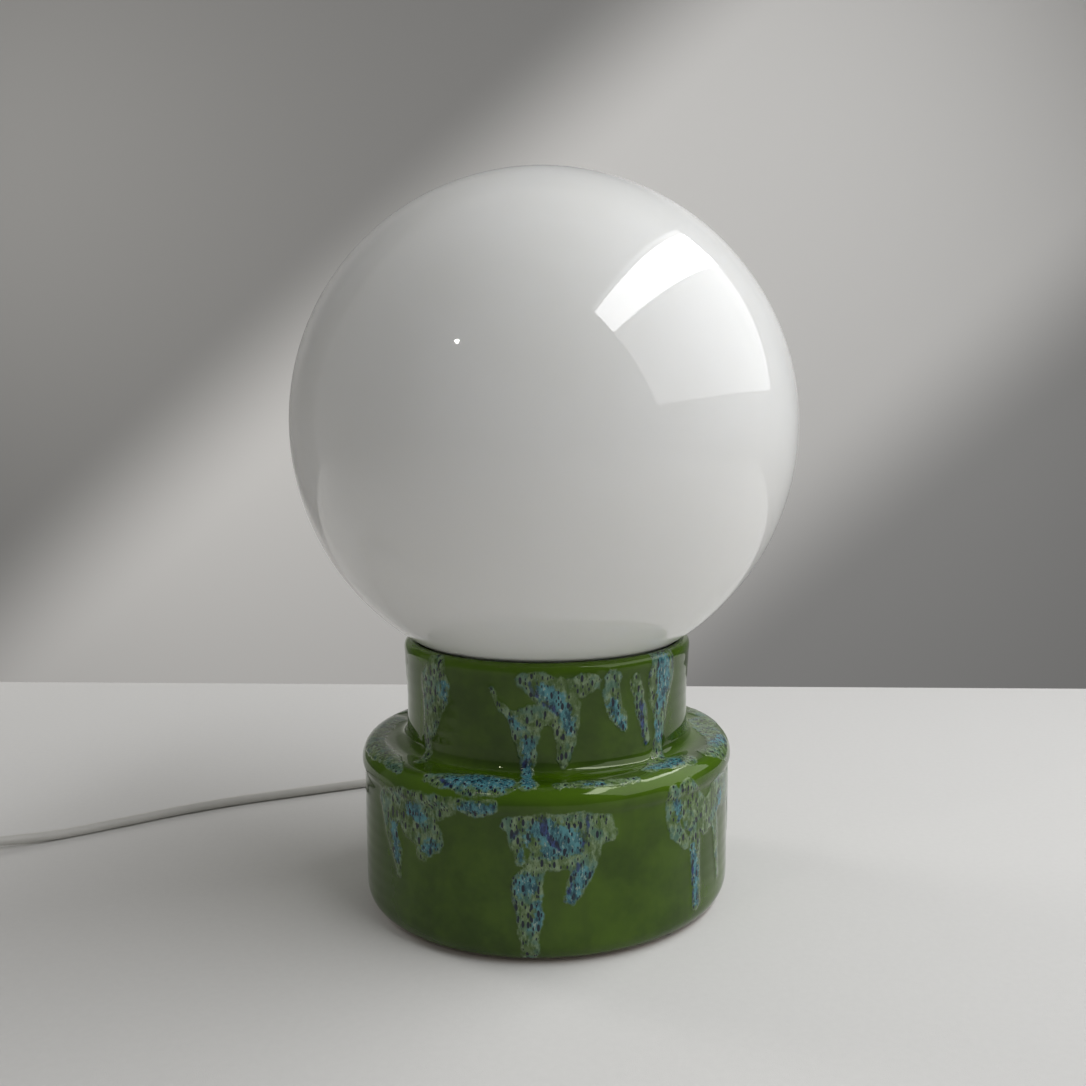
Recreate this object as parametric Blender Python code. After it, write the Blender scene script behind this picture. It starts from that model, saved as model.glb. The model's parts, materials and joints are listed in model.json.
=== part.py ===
"""A globe table lamp: a two-tier glazed ceramic base, an opal glass globe and a corded E27 lamp holder.

+Z is up, the front of the lamp faces -Y and the cord leaves at +Y. The origin is the middle of the
circle that the lamp stands on. Sizes are written in millimetres and become metres in the helpers.
"""

import math

import bmesh
import bpy
from mathutils import Vector

MM = 0.001
GAP = 0.3  # between pieces that touch on the real lamp

# ---- driving dimensions, in millimetres ----
GLOBE_RADIUS = 125.0
GLOBE_WALL = 3.0
NECK_RADIUS = 50.0  # outside of the globe's fitter neck
NECK_FILLET = 6.0
NECK_END_Z = 105.6

PAD_RADIUS = 5.2
PAD_THICKNESS = 1.8
PAD_RING_RADIUS = 81.6

FOOT_Z = PAD_THICKNESS + GAP
FOOT_INNER_RADIUS = 76.0
FOOT_OUTER_RADIUS = 88.2
DRUM_RADIUS = 93.0
DRUM_WALL = 6.4
BEAD_RADIUS = 94.2  # the rolled edge of the shoulder
SHOULDER_Z = 81.6
COVE_RADIUS = 5.5  # the hollow between shoulder and collar
COLLAR_RADIUS = 71.8
COLLAR_BORE = 65.3
LIP_RING_RADIUS = 69.0
LIP_Z = 128.9
LIP_ROUND = 3.6
DECK_TOP_Z = 86.0
DECK_UNDER_Z = 80.0
DECK_HOLE_RADIUS = 5.8
GLOBE_Z = LIP_Z + math.sqrt((GLOBE_RADIUS + LIP_ROUND + GAP) ** 2 - LIP_RING_RADIUS**2)

NIPPLE_RADIUS = 5.0
NIPPLE_BORE = 3.6
NIPPLE_TOP_Z = 103.7
NUT_ACROSS_FLATS = 14.0

THREAD_PITCH = 25.4 / 7.0  # the E27 round thread has 7 turns to the inch
THREAD_MAJOR = 13.15
THREAD_MINOR = 12.0
THREAD_CLEARANCE = 0.35
THREAD_SEGMENTS = 20
THREAD_ROWS_PER_TURN = 5

BULB_TIP_Z = 126.7
BULB_RADIUS = 30.0
BULB_CENTRE_Z = 202.0
BULB_WALL = 1.0
BULB_NECK_RADIUS = 10.8

CORD_RADIUS = 2.75
CORD_SPACING = 13.0  # between the points of a cord's plain tube
CORD_EXIT_Z = 20.0
CORD_FLOOR_Z = 2.9  # the cord's middle where it lies on the table
BUSHING_BORE = CORD_RADIUS + GAP
BUSHING_END_Y = 120.0
CORD_JOIN_Y = 112.0  # where the inner cord meets the outer one, inside the bushing
WALL_HOLE_RADIUS = 6.3

SWITCH_PLACE = (-354.0, 10.0, 0.0)
SWITCH_HEADING = 210.0  # degrees, the way the cord runs through it
SWITCH_LENGTH = 66.0
SWITCH_WIDTH = 27.0
SWITCH_PART_Z = 6.0  # where its two shells meet
SWITCH_TOP_Z = 15.5
SWITCH_CORD_Z = SWITCH_PART_Z + GAP / 2
ROCKER_PIVOT_Z = 11.4
ROCKER_TILT = 8.0
SWITCH_SCREWS = ((22.0, 8.4), (-22.0, -8.4))

COIL_PLACE = (-364.0, -63.5)
COIL_OUTER_TURN = 40.0
COIL_INNER_TURN = 22.5
COIL_LOW_Z = 1.2
COIL_HIGH_Z = 12.6
COIL_TURN_Z = COIL_LOW_Z + CORD_RADIUS + 0.1  # the middle of the lower layer of turns
TIE_WIDTH = 8.0
TIE_ANGLE = 25.0

PLUG_PLACE = (-298.0, -103.5, 7.1)
PLUG_THICKNESS = 13.7
PLUG_HALF_LENGTH = 18.0
PLUG_PIN_SPACING = 18.6
PLUG_PIN_LENGTH = 19.0

# The cord's route on the table, from inside the bushing to inside the switch.
LEAD_ROUTE = [
    (0.0, CORD_JOIN_Y + GAP, CORD_EXIT_Z),
    (0.0, 122.5, CORD_EXIT_Z),
    (-1.5, 135.0, 17.3),
    (-7.0, 149.0, 12.2),
    (-18.0, 160.5, 7.0),
    (-35.0, 167.5, 3.9),
    (-56.0, 168.0, CORD_FLOOR_Z),
    (-79.0, 163.0, CORD_FLOOR_Z),
    (-102.0, 155.0, CORD_FLOOR_Z),
    (-124.0, 145.5, CORD_FLOOR_Z),
    (-146.0, 135.0, CORD_FLOOR_Z),
    (-172.0, 122.7, CORD_FLOOR_Z),
    (-203.0, 107.6, CORD_FLOOR_Z),
    (-232.0, 89.5, CORD_FLOOR_Z),
    (-258.5, 69.5, CORD_FLOOR_Z),
    (-284.0, 51.2, CORD_FLOOR_Z),
    (-306.3, 37.4, 4.5),
    (-319.4, 30.0, SWITCH_CORD_Z),
    (-333.2, 22.0, SWITCH_CORD_Z),
]
# From the switch to the side of the coil, and from the coil to the plug.
TAIL_ROUTE = [
    (-374.8, -2.0, SWITCH_CORD_Z),
    (-386.9, -9.0, SWITCH_CORD_Z),
    (-397.5, -18.0, 5.3),
    (-403.2, -29.5, 4.3),
    (-404.4, -41.5, COIL_TURN_Z),
]
END_ROUTE = [
    (-342.5, -104.3, 7.8),
    (-334.0, -103.5, 7.1),
    (-326.0, -103.5, 7.1),
    (-317.0, -103.5, 7.1),
]
# Inside the base, from the bushing up through the nipple into the lamp holder.
INNER_ROUTE = [
    (0.0, CORD_JOIN_Y, CORD_EXIT_Z),
    (0.0, 96.0, CORD_EXIT_Z),
    (0.0, 80.0, CORD_EXIT_Z),
    (0.0, 58.0, 17.8),
    (0.0, 38.0, 18.6),
    (0.0, 19.0, 27.0),
    (0.0, 6.0, 43.0),
    (0.0, 0.6, 60.0),
    (0.0, 0.0, 76.0),
    (0.0, 0.0, 92.0),
    (0.0, 0.0, 104.6),
]


# ---- helpers ----
def clear_scene():
    for obj in list(bpy.data.objects):
        bpy.data.objects.remove(obj, do_unlink=True)


def material(name, colour, roughness, metallic=0.0):
    made = bpy.data.materials.new(name)
    made.use_nodes = True
    shader = made.node_tree.nodes["Principled BSDF"]
    shader.inputs["Base Color"].default_value = (*colour, 1.0)
    shader.inputs["Roughness"].default_value = roughness
    shader.inputs["Metallic"].default_value = metallic
    return made


def place(obj, location=(0, 0, 0), parent=None):
    obj.location = Vector(location) * MM
    obj.parent = parent
    return obj


def empty(name, location=(0, 0, 0), parent=None, turn=0.0):
    made = bpy.data.objects.new(name, None)
    bpy.context.scene.collection.objects.link(made)
    made.rotation_euler.z = math.radians(turn)
    return place(made, location, parent)


def object_from(name, bm, look):
    """The bmesh as an object, shaded smooth across its round stretches."""
    bmesh.ops.recalc_face_normals(bm, faces=bm.faces)
    mesh = bpy.data.meshes.new(name)
    bm.to_mesh(mesh)
    bm.free()
    mesh.shade_smooth()
    mesh.set_sharp_from_angle(angle=math.radians(35))
    if look is not None:
        mesh.materials.append(look)
    obj = bpy.data.objects.new(name, mesh)
    bpy.context.scene.collection.objects.link(obj)
    return obj


def arc(centre_r, centre_z, radius, start, end, steps):
    """Points of an arc in a turned profile, its angles in degrees from +r towards +z."""
    angles = [math.radians(start + (end - start) * i / steps) for i in range(steps + 1)]
    return [(centre_r + radius * math.cos(a), centre_z + radius * math.sin(a)) for a in angles]


def turned(name, profile, look, segments, move_row=None):
    """A solid of revolution about local Z. A profile that starts and ends on the axis is left open there."""
    bm = bmesh.new()
    verts = [bm.verts.new((r * MM, 0.0, z * MM)) for r, z in profile]
    edges = [bm.edges.new(pair) for pair in zip(verts, verts[1:])]
    on_axis = profile[0][0] == 0 and profile[-1][0] == 0
    if not on_axis:
        edges.append(bm.edges.new((verts[-1], verts[0])))
    bmesh.ops.spin(
        bm,
        geom=verts + edges,
        cent=(0, 0, 0),
        axis=(0, 0, 1),
        angle=math.tau,
        steps=segments,
        use_merge=True,
    )
    bmesh.ops.remove_doubles(bm, verts=bm.verts, dist=1e-7)
    if move_row:
        for vert in bm.verts:
            move_row(vert)
    return object_from(name, bm, look)


def face_along(obj, axis):
    """Turns a piece made about local Z so that it points along +X or +Y."""
    if axis == "X":
        obj.rotation_euler.y = math.radians(90)
    else:
        obj.rotation_euler.x = math.radians(-90)
    return obj


def washer(inner, outer, low, high):
    return [(inner, low), (outer, low), (outer, high), (inner, high)]


def block(name, size, look, corner=0.0, edge=0.0):
    """A box with rounded upright corners and rounded top and bottom edges."""
    bm = bmesh.new()
    bmesh.ops.create_cube(bm, size=1.0)
    bmesh.ops.scale(bm, verts=bm.verts, vec=Vector(size) * MM)
    if corner:
        upright = [e for e in bm.edges if abs(e.verts[0].co.z - e.verts[1].co.z) > 1e-6]
        bmesh.ops.bevel(
            bm, geom=upright, offset=corner * MM, segments=4, profile=0.5, affect="EDGES", material=-1,
        )
    if edge:
        caps = [f for f in bm.faces if abs(f.normal.z) > 0.99]
        rims = list({e for f in caps for e in f.edges})
        bmesh.ops.bevel(
            bm, geom=rims, offset=edge * MM, segments=2, profile=0.5, affect="EDGES", material=-1,
        )
    return object_from(name, bm, look)


def extruded(name, outline, thickness, look):
    """A flat outline in local X and Z, given thickness along Y and centred on it."""
    bm = bmesh.new()
    verts = [bm.verts.new((x * MM, -thickness / 2 * MM, z * MM)) for x, z in outline]
    face = bm.faces.new(verts)
    grown = bmesh.ops.extrude_face_region(bm, geom=[face])["geom"]
    moved = [g for g in grown if isinstance(g, bmesh.types.BMVert)]
    bmesh.ops.translate(bm, verts=moved, vec=(0, thickness * MM, 0))
    return object_from(name, bm, look)


def cut(obj, cutter):
    """Takes the cutter's shape out of the piece. The cutter isn't part of the lamp."""
    cutter.hide_render = True
    cutter.display_type = "WIRE"
    boolean = obj.modifiers.new(cutter.name, "BOOLEAN")
    boolean.operation = "DIFFERENCE"
    boolean.object = cutter


def rod_cutter(name, radius, low, high, segments=20):
    return turned(name, [(0, low), (radius, low), (radius, high), (0, high)], None, segments)


def smooth_points(route, spacing):
    """Evenly spaced points of one smooth curve through the route's own points."""
    points = [Vector(p) for p in route]
    points = [2 * points[0] - points[1], *points, 2 * points[-1] - points[-2]]
    fine = []
    for before, start, end, after in zip(points, points[1:], points[2:], points[3:]):
        for i in range(16):
            t = i / 16
            a = 2 * start
            b = (end - before) * t
            c = (2 * before - 5 * start + 4 * end - after) * t**2
            d = (3 * start - before - 3 * end + after) * t**3
            fine.append((a + b + c + d) / 2)
    fine.append(points[-2])
    along = [0.0]
    for p, q in zip(fine, fine[1:]):
        along.append(along[-1] + (q - p).length)
    count = max(2, round(along[-1] / spacing))
    spaced, k = [], 0
    for i in range(count + 1):
        wanted = along[-1] * i / count
        while k < len(fine) - 2 and along[k + 1] < wanted:
            k += 1
        share = (wanted - along[k]) / (along[k + 1] - along[k])
        spaced.append(fine[k].lerp(fine[k + 1], min(1.0, share)))
    return spaced


def tube(name, route, radius, look, spacing=CORD_SPACING, sides_level=2, parent=None):
    """A cord or wire along a route."""
    curve = bpy.data.curves.new(name, "CURVE")
    curve.dimensions = "3D"
    curve.bevel_depth = radius * MM
    curve.bevel_resolution = sides_level
    curve.use_fill_caps = True
    points = smooth_points(route, spacing)
    spline = curve.splines.new("POLY")
    spline.points.add(len(points) - 1)
    for point, p in zip(spline.points, points):
        point.co = (*(p * MM), 1.0)
    curve.materials.append(look)
    obj = bpy.data.objects.new(name, curve)
    bpy.context.scene.collection.objects.link(obj)
    obj.parent = parent
    return obj


# ---- the ceramic base and its pads ----
def base_profile():
    """The base's wall in section: up the outside, over the lip, across the deck and down the inside."""
    inside = DRUM_RADIUS - DRUM_WALL
    corner = [
        (FOOT_OUTER_RADIUS + 2.0, FOOT_Z + 0.9),
        (FOOT_OUTER_RADIUS + 3.8, FOOT_Z + 3.6),
        (DRUM_RADIUS, FOOT_Z + 8.5),
    ]
    bead = [
        (DRUM_RADIUS, SHOULDER_Z - 15.0),
        (DRUM_RADIUS + 0.1, SHOULDER_Z - 12.6),
        (BEAD_RADIUS - 0.3, SHOULDER_Z - 11.0),
        (BEAD_RADIUS, SHOULDER_Z - 8.3),
        (BEAD_RADIUS - 0.5, SHOULDER_Z - 5.2),
        (BEAD_RADIUS - 2.1, SHOULDER_Z - 2.3),
        (BEAD_RADIUS - 4.8, SHOULDER_Z - 0.4),
        (BEAD_RADIUS - 8.0, SHOULDER_Z + 0.3),
        (BEAD_RADIUS - 12.0, SHOULDER_Z + 0.2),
    ]
    cove = arc(COLLAR_RADIUS + COVE_RADIUS, SHOULDER_Z + COVE_RADIUS, COVE_RADIUS, 270, 180, 4)
    collar = [(COLLAR_RADIUS - 0.5, 101.0), (COLLAR_RADIUS, 116.0)]
    lip = arc(LIP_RING_RADIUS, LIP_Z, LIP_ROUND, 0, 180, 6)
    deck = [
        (COLLAR_BORE, 121.0),
        (COLLAR_BORE, DECK_TOP_Z + 6.0),
        (COLLAR_BORE - 1.8, DECK_TOP_Z + 1.8),
        (COLLAR_BORE - 6.0, DECK_TOP_Z),
        (DECK_HOLE_RADIUS, DECK_TOP_Z),
        (DECK_HOLE_RADIUS, DECK_UNDER_Z),
        (COLLAR_BORE - 3.0, DECK_UNDER_Z),
    ]
    hollow = [
        (inside - 6.0, 76.0),
        (inside - 1.5, 73.0),
        (inside, 69.0),
        (inside, 10.5),
        (inside - 3.0, 7.0),
        (FOOT_INNER_RADIUS, 5.2),
        (FOOT_INNER_RADIUS, FOOT_Z),
        (FOOT_OUTER_RADIUS, FOOT_Z),
    ]
    return corner + bead + cove + collar + lip + deck + hollow


def make_base(looks, lamp):
    base = place(turned("ceramic_base", base_profile(), looks["glaze"], 40), parent=lamp)
    hole = face_along(rod_cutter("cord_hole_cutter", WALL_HOLE_RADIUS, -10, 10), "Y")
    place(hole, (0, DRUM_RADIUS - DRUM_WALL / 2, CORD_EXIT_Z), lamp)
    cut(base, hole)
    for i in range(4):
        angle = math.radians(45 + 90 * i)
        spot = (PAD_RING_RADIUS * math.cos(angle), PAD_RING_RADIUS * math.sin(angle), 0)
        outline = [(0, 0), (PAD_RADIUS, 0), (PAD_RADIUS, PAD_THICKNESS), (0, PAD_THICKNESS)]
        place(turned(f"foot_pad_{i + 1}", outline, looks["felt"], 16), spot, lamp)


# ---- the glass globe ----
def globe_profile():
    """From the top of the outside, down and round the neck's rim, and back up the inside."""
    reach = GLOBE_RADIUS + NECK_FILLET
    fillet_r = NECK_RADIUS + NECK_FILLET
    drop = math.sqrt(reach**2 - fillet_r**2)
    turn = math.degrees(math.atan2(drop, fillet_r))
    inner_neck = NECK_RADIUS - GLOBE_WALL
    rim_z = NECK_END_Z - GLOBE_Z
    outside = arc(0, 0, GLOBE_RADIUS, 90, -turn, 14)[1:]
    outer_fillet = arc(fillet_r, -drop, NECK_FILLET, 180 - turn, 180, 3)[1:]
    rim = [
        (NECK_RADIUS, rim_z + 4.0),
        (NECK_RADIUS + 1.3, rim_z + 2.2),
        (NECK_RADIUS + 1.3, rim_z + 1.0),
        (NECK_RADIUS, rim_z),
        (inner_neck + 0.8, rim_z),
        (inner_neck, rim_z + 0.8),
    ]
    inner_fillet = arc(fillet_r, -drop, NECK_FILLET + GLOBE_WALL, 180, 180 - turn, 3)
    inside = arc(0, 0, GLOBE_RADIUS - GLOBE_WALL, -turn, 90, 11)[1:-1]
    top = (0, GLOBE_RADIUS)
    return [top, *outside, *outer_fillet, *rim, *inner_fillet, *inside, (0, GLOBE_RADIUS - GLOBE_WALL)]


def make_globe(looks, lamp):
    lift = empty("globe_lift", (0, 0, GLOBE_Z), lamp)
    place(turned("glass_globe", globe_profile(), looks["opal"], 40), parent=lift)


# ---- nipple, nuts and washers that hold the lamp holder to the deck ----
def make_nut(name, low, looks, lamp):
    height = 3.5
    corner = NUT_ACROSS_FLATS / 2 / math.cos(math.pi / 6)
    outline = [(0, 0), (corner, 0), (corner, height), (0, height)]
    nut = place(turned(name, outline, looks["brass"], 6), (0, 0, low), lamp)
    bore = place(rod_cutter(name + "_bore", NIPPLE_RADIUS + GAP, -1, height + 1), (0, 0, low), lamp)
    cut(nut, bore)


def make_stack(looks, lamp):
    nipple = washer(NIPPLE_BORE, NIPPLE_RADIUS, 64.0, NIPPLE_TOP_Z)
    place(turned("threaded_nipple", nipple, looks["brass"], 20), parent=lamp)
    bore = NIPPLE_RADIUS + 0.4
    above = washer(bore, 15.0, DECK_TOP_Z + GAP, DECK_TOP_Z + 1.8)
    below = washer(bore, 17.0, DECK_UNDER_Z - 1.8, DECK_UNDER_Z - GAP)
    place(turned("washer_top", above, looks["steel"], 24), parent=lamp)
    place(turned("washer_bottom", below, looks["steel"], 24), parent=lamp)
    spring = washer(bore, 8.4, DECK_UNDER_Z - 3.7, DECK_UNDER_Z - 2.1)
    split = place(turned("spring_washer", spring, looks["steel"], 20), parent=lamp)
    slit = place(block("spring_washer_slit", (8, 1.0, 6), None), (8, 0, DECK_UNDER_Z - 3), lamp)
    cut(split, slit)
    make_nut("nut_top", DECK_TOP_Z + 2.1, looks, lamp)
    make_nut("nut_bottom", DECK_UNDER_Z - 7.5, looks, lamp)


# ---- the E27 lamp holder ----
def thread_rows(low, high):
    step = THREAD_PITCH / THREAD_ROWS_PER_TURN
    count = round((high - low) / step)
    return [low + (high - low) * i / count for i in range(count + 1)]


def thread_wave(vert, grow, low, high, flat_radius):
    """Moves a vertex of a plain wall onto the round thread, which fades to flat_radius at both ends."""
    angle = math.atan2(vert.co.y, vert.co.x)
    z = vert.co.z / MM
    middle = (THREAD_MAJOR + THREAD_MINOR) / 2 + grow
    height = (THREAD_MAJOR - THREAD_MINOR) / 2
    wave = middle + height * math.cos(math.tau * z / THREAD_PITCH - angle)
    fade = max(0.0, min(1.0, (z - low) / 1.5, (high - z) / 1.5))
    radius = flat_radius + (wave - flat_radius) * fade
    vert.co.x = radius * MM * math.cos(angle)
    vert.co.y = radius * MM * math.sin(angle)


def make_screw_shell(looks, lamp):
    low, high, outer = 124.0, 147.4, 14.3
    mouth = THREAD_MAJOR + THREAD_CLEARANCE
    rows = thread_rows(low + 2.5, high)
    inside = [(mouth, z) for z in rows]
    floor = [(mouth, low + 0.7), (9.0, low + 0.7)]
    profile = [(9.0, low), (outer, low), (outer, high), *reversed(inside), *floor]

    def onto_thread(vert):
        radius = math.hypot(vert.co.x, vert.co.y) / MM
        if abs(radius - mouth) < 0.01 and vert.co.z / MM > low + 2.0:
            thread_wave(vert, THREAD_CLEARANCE, low + 2.5, high, mouth)

    place(turned("screw_shell", profile, looks["nickel"], THREAD_SEGMENTS, onto_thread), parent=lamp)


def make_holder(looks, lamp):
    cap = [
        (5.35, 92.0), (8.2, 92.0), (8.2, 99.0), (12.0, 102.4), (17.2, 105.8), (19.3, 109.6),
        (19.6, 117.7), (17.4, 117.7), (17.2, 110.4), (15.4, 107.6), (10.6, 104.5), (5.35, 104.5),
    ]  # fmt: skip
    holder_cap = place(turned("holder_cap", cap, looks["bakelite"], 24), parent=lamp)
    screw_hole = face_along(rod_cutter("lock_screw_hole", 1.75, 3.0, 10.0, 12), "X")
    cut(holder_cap, place(screw_hole, (0, 0, 95.6), lamp))
    screw = [(0, 5.4), (1.4, 5.4), (1.4, 9.2), (0, 9.2)]
    lock = face_along(turned("holder_lock_screw", screw, looks["brass"], 12), "X")
    place(lock, (0, 0, 95.6), lamp)
    shell = [
        (17.3, 118.0), (19.8, 118.0), (19.8, 148.3), (18.9, 149.4),
        (15.6, 149.4), (14.9, 148.8), (14.9, 147.8), (17.3, 147.8),
    ]  # fmt: skip
    place(turned("holder_shell", shell, looks["bakelite"], 24), parent=lamp)
    insert = [(2.2, 112.5), (15.6, 112.5), (16.6, 113.5), (16.6, 122.7), (15.6, 123.7), (2.2, 123.7)]
    place(turned("holder_insert", insert, looks["porcelain"], 24), parent=lamp)
    tongue = [
        (-7.5, 124.0), (-3.4, 124.0), (0.0, 125.8), (3.2, 125.0),
        (3.4, 125.5), (0.0, 126.4), (-3.6, 124.5), (-7.5, 124.5),
    ]  # fmt: skip
    place(extruded("centre_contact", tongue, 4.0, looks["brass"]), parent=lamp)
    for side, name, wire in ((-1, "left", "neutral_wire"), (1, "right", "live_wire")):
        terminal = block(f"terminal_{name}", (5.0, 6.0, 4.0), looks["brass"], edge=0.4)
        place(terminal, (side * 10.6, 0, 110.1), lamp)
        head = [(0, 0), (2.1, 0), (2.1, 1.7), (0, 1.7)]
        screw_place = (side * 10.6, 0, 106.1)
        screw = place(turned(f"terminal_screw_{name}", head, looks["steel"], 12), screw_place, lamp)
        slit = place(block(f"terminal_slit_{name}", (6, 0.6, 1.4), None), screw_place, lamp)
        cut(screw, slit)
        route = [
            (side * 1.25, 0, 105.1), (side * 2.0, 0, 106.8), (side * 4.4, 0, 109.2), (side * 7.6, 0, 110.4),
        ]  # fmt: skip
        tube(wire, route, 0.85, looks[wire], spacing=1.8, parent=lamp)


# ---- the bulb, which turns and rises on its thread ----
def bulb_outline(offset):
    """The glass from the neck to the top, moved inwards by offset."""
    start = Vector((12.6 - offset, 152.0))
    join = math.radians(-35)
    radius = BULB_RADIUS - offset
    end = Vector((radius * math.cos(join), BULB_CENTRE_Z + radius * math.sin(join)))
    pull_start = start + Vector((0, 13.0))
    pull_end = end - 14.0 * Vector((-math.sin(join), math.cos(join)))
    flare = []
    for i in range(5):
        t = i / 5
        near = start * (1 - t) ** 3 + 3 * pull_start * t * (1 - t) ** 2
        flare.append(near + 3 * pull_end * t**2 * (1 - t) + end * t**3)
    return [tuple(p) for p in flare] + arc(0, BULB_CENTRE_Z, radius, -35, 90, 7)[:-1]


def make_bulb_cap(looks, bulb):
    low, high, inner = 133.7, 151.0, 11.1
    rows = thread_rows(low + 0.8, high - 1.6)
    outside = [(THREAD_MINOR, z) for z in rows]
    profile = [(inner, low), (11.6, low), *outside, (12.9, high - 0.7), (12.9, high), (inner, high)]

    def onto_thread(vert):
        radius = math.hypot(vert.co.x, vert.co.y) / MM
        if abs(radius - THREAD_MINOR) < 0.01:
            thread_wave(vert, 0.0, low + 0.8, high - 1.6, THREAD_MINOR)

    place(turned("bulb_cap", profile, looks["nickel"], THREAD_SEGMENTS, onto_thread), parent=bulb)


def make_bulb_glass(looks, bulb):
    top = BULB_CENTRE_Z + BULB_RADIUS
    outside = [(0, top), *reversed(bulb_outline(0.0))]
    neck = [
        (BULB_NECK_RADIUS, 151.3),
        (BULB_NECK_RADIUS, 139.0),
        (BULB_NECK_RADIUS - BULB_WALL, 139.0),
        (BULB_NECK_RADIUS - BULB_WALL, 151.0),
    ]
    inside = [*bulb_outline(BULB_WALL), (0, top - BULB_WALL)]
    place(turned("bulb_glass", outside + neck + inside, looks["clear"], 24), parent=bulb)


def make_filament(looks, bulb):
    stem = [
        (0, 139.0), (9.4, 139.0), (9.4, 140.4), (5.0, 146.0), (3.4, 152.0),
        (2.6, 166.0), (3.2, 168.4), (2.2, 170.4), (0, 170.8),
    ]  # fmt: skip
    place(turned("bulb_stem", stem, looks["clear"], 14), parent=bulb)
    for side, name in ((-1, "left"), (1, "right")):
        route = [
            (side * 1.2, 0, 171.2), (side * 3.0, 0, 178.0), (side * 8.0, 0, 188.0), (side * 10.0, 0, 193.6),
        ]  # fmt: skip
        tube(f"filament_lead_{name}", route, 0.4, looks["steel"], spacing=4.0, sides_level=1, parent=bulb)
    bow = [math.radians(-20 * i) for i in range(10)]
    route = [(10.0 * math.cos(a), 10.0 * math.sin(a), 194.5) for a in bow]
    tube("filament", route, 0.5, looks["tungsten"], spacing=3.5, sides_level=1, parent=bulb)


def make_bulb(looks, lamp):
    bulb = empty("bulb_turn", parent=lamp)
    tip = [(0, BULB_TIP_Z), (2.6, BULB_TIP_Z + 0.3), (4.6, BULB_TIP_Z + 1.4), (4.6, 129.0), (0, 129.0)]
    place(turned("bulb_tip_contact", tip, looks["solder"], 16), parent=bulb)
    insulator = [(0, 129.3), (5.2, 129.3), (9.4, 132.2), (10.6, 133.4), (0, 133.4)]
    place(turned("bulb_insulator", insulator, looks["vitrite"], 20), parent=bulb)
    make_bulb_cap(looks, bulb)
    make_bulb_glass(looks, bulb)
    make_filament(looks, bulb)


# ---- the cord, its bushing, switch, coil and plug ----
def make_bushing(looks, lamp):
    profile = [
        (BUSHING_BORE, 82.9), (8.6, 82.9), (8.6, 85.1), (5.9, 85.1), (5.9, 93.4), (8.0, 93.4),
        (8.0, 94.6), (6.9, 95.6), (4.9, 98.2), (3.9, BUSHING_END_Y), (BUSHING_BORE, BUSHING_END_Y),
    ]  # fmt: skip
    bushing = face_along(turned("cord_bushing", profile, looks["cord"], 20), "Y")
    place(bushing, (0, 0, CORD_EXIT_Z), lamp)
    tube("inner_cord", INNER_ROUTE, CORD_RADIUS, looks["cord"], parent=lamp)
    tube("cord_lead", LEAD_ROUTE, CORD_RADIUS, looks["cord"], parent=lamp)


def switch_shell(name, low, high, looks, switch):
    size = (SWITCH_LENGTH, SWITCH_WIDTH, high - low)
    shell = block(name, size, looks["switch"], corner=9.0, edge=1.4)
    return place(shell, (0, 0, (low + high) / 2), switch)


def switch_rooms(switch):
    """What is hollow in the switch: the room under the rocker, the terminals' room and the cord's channel."""
    low, high = 1.9, 13.2
    chamber = block("switch_chamber", (30.0, 14.0, high - low), None)
    place(chamber, (0, 0, (low + high) / 2), switch)
    hall = block("switch_hall", (52.0, 9.0, high - low), None)
    place(hall, (0, 0, (low + high) / 2), switch)
    channel = face_along(rod_cutter("switch_channel", BUSHING_BORE, -40, 40, 16), "X")
    place(channel, (0, 0, SWITCH_CORD_Z), switch)
    rooms = [chamber, hall, channel]
    seat = [(0, -1), (3.0, -1), (3.0, 2.5), (1.6, 2.5), (1.6, 11.4), (0, 11.4)]
    for i, (x, y) in enumerate(SWITCH_SCREWS):
        rooms.append(place(turned(f"screw_seat_{i + 1}", seat, None, 16), (x, y, 0), switch))
    return rooms


def make_rocker(looks, switch):
    pivot = empty("rocker_pivot", (0, 0, ROCKER_PIVOT_Z), switch)
    pivot.rotation_euler.y = math.radians(ROCKER_TILT)
    side = [(-7.7, -1.0), (0, -1.9), (7.7, -1.0), (7.9, 5.2), (5.0, 4.9), (0, 4.5), (-5.0, 4.9), (-7.9, 5.2)]
    rocker = place(extruded("switch_rocker", side, 9.6, looks["rocker"]), parent=pivot)
    bore = face_along(rod_cutter("rocker_bore", 1.2, -10, 10, 12), "Y")
    cut(rocker, place(bore, (0, 0, ROCKER_PIVOT_Z), switch))
    pin_line = [(0, -8.4), (0.9, -8.4), (0.9, 8.4), (0, 8.4)]
    pin = face_along(turned("switch_pivot_pin", pin_line, looks["steel"], 12), "Y")
    place(pin, (0, 0, ROCKER_PIVOT_Z), switch)


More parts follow.
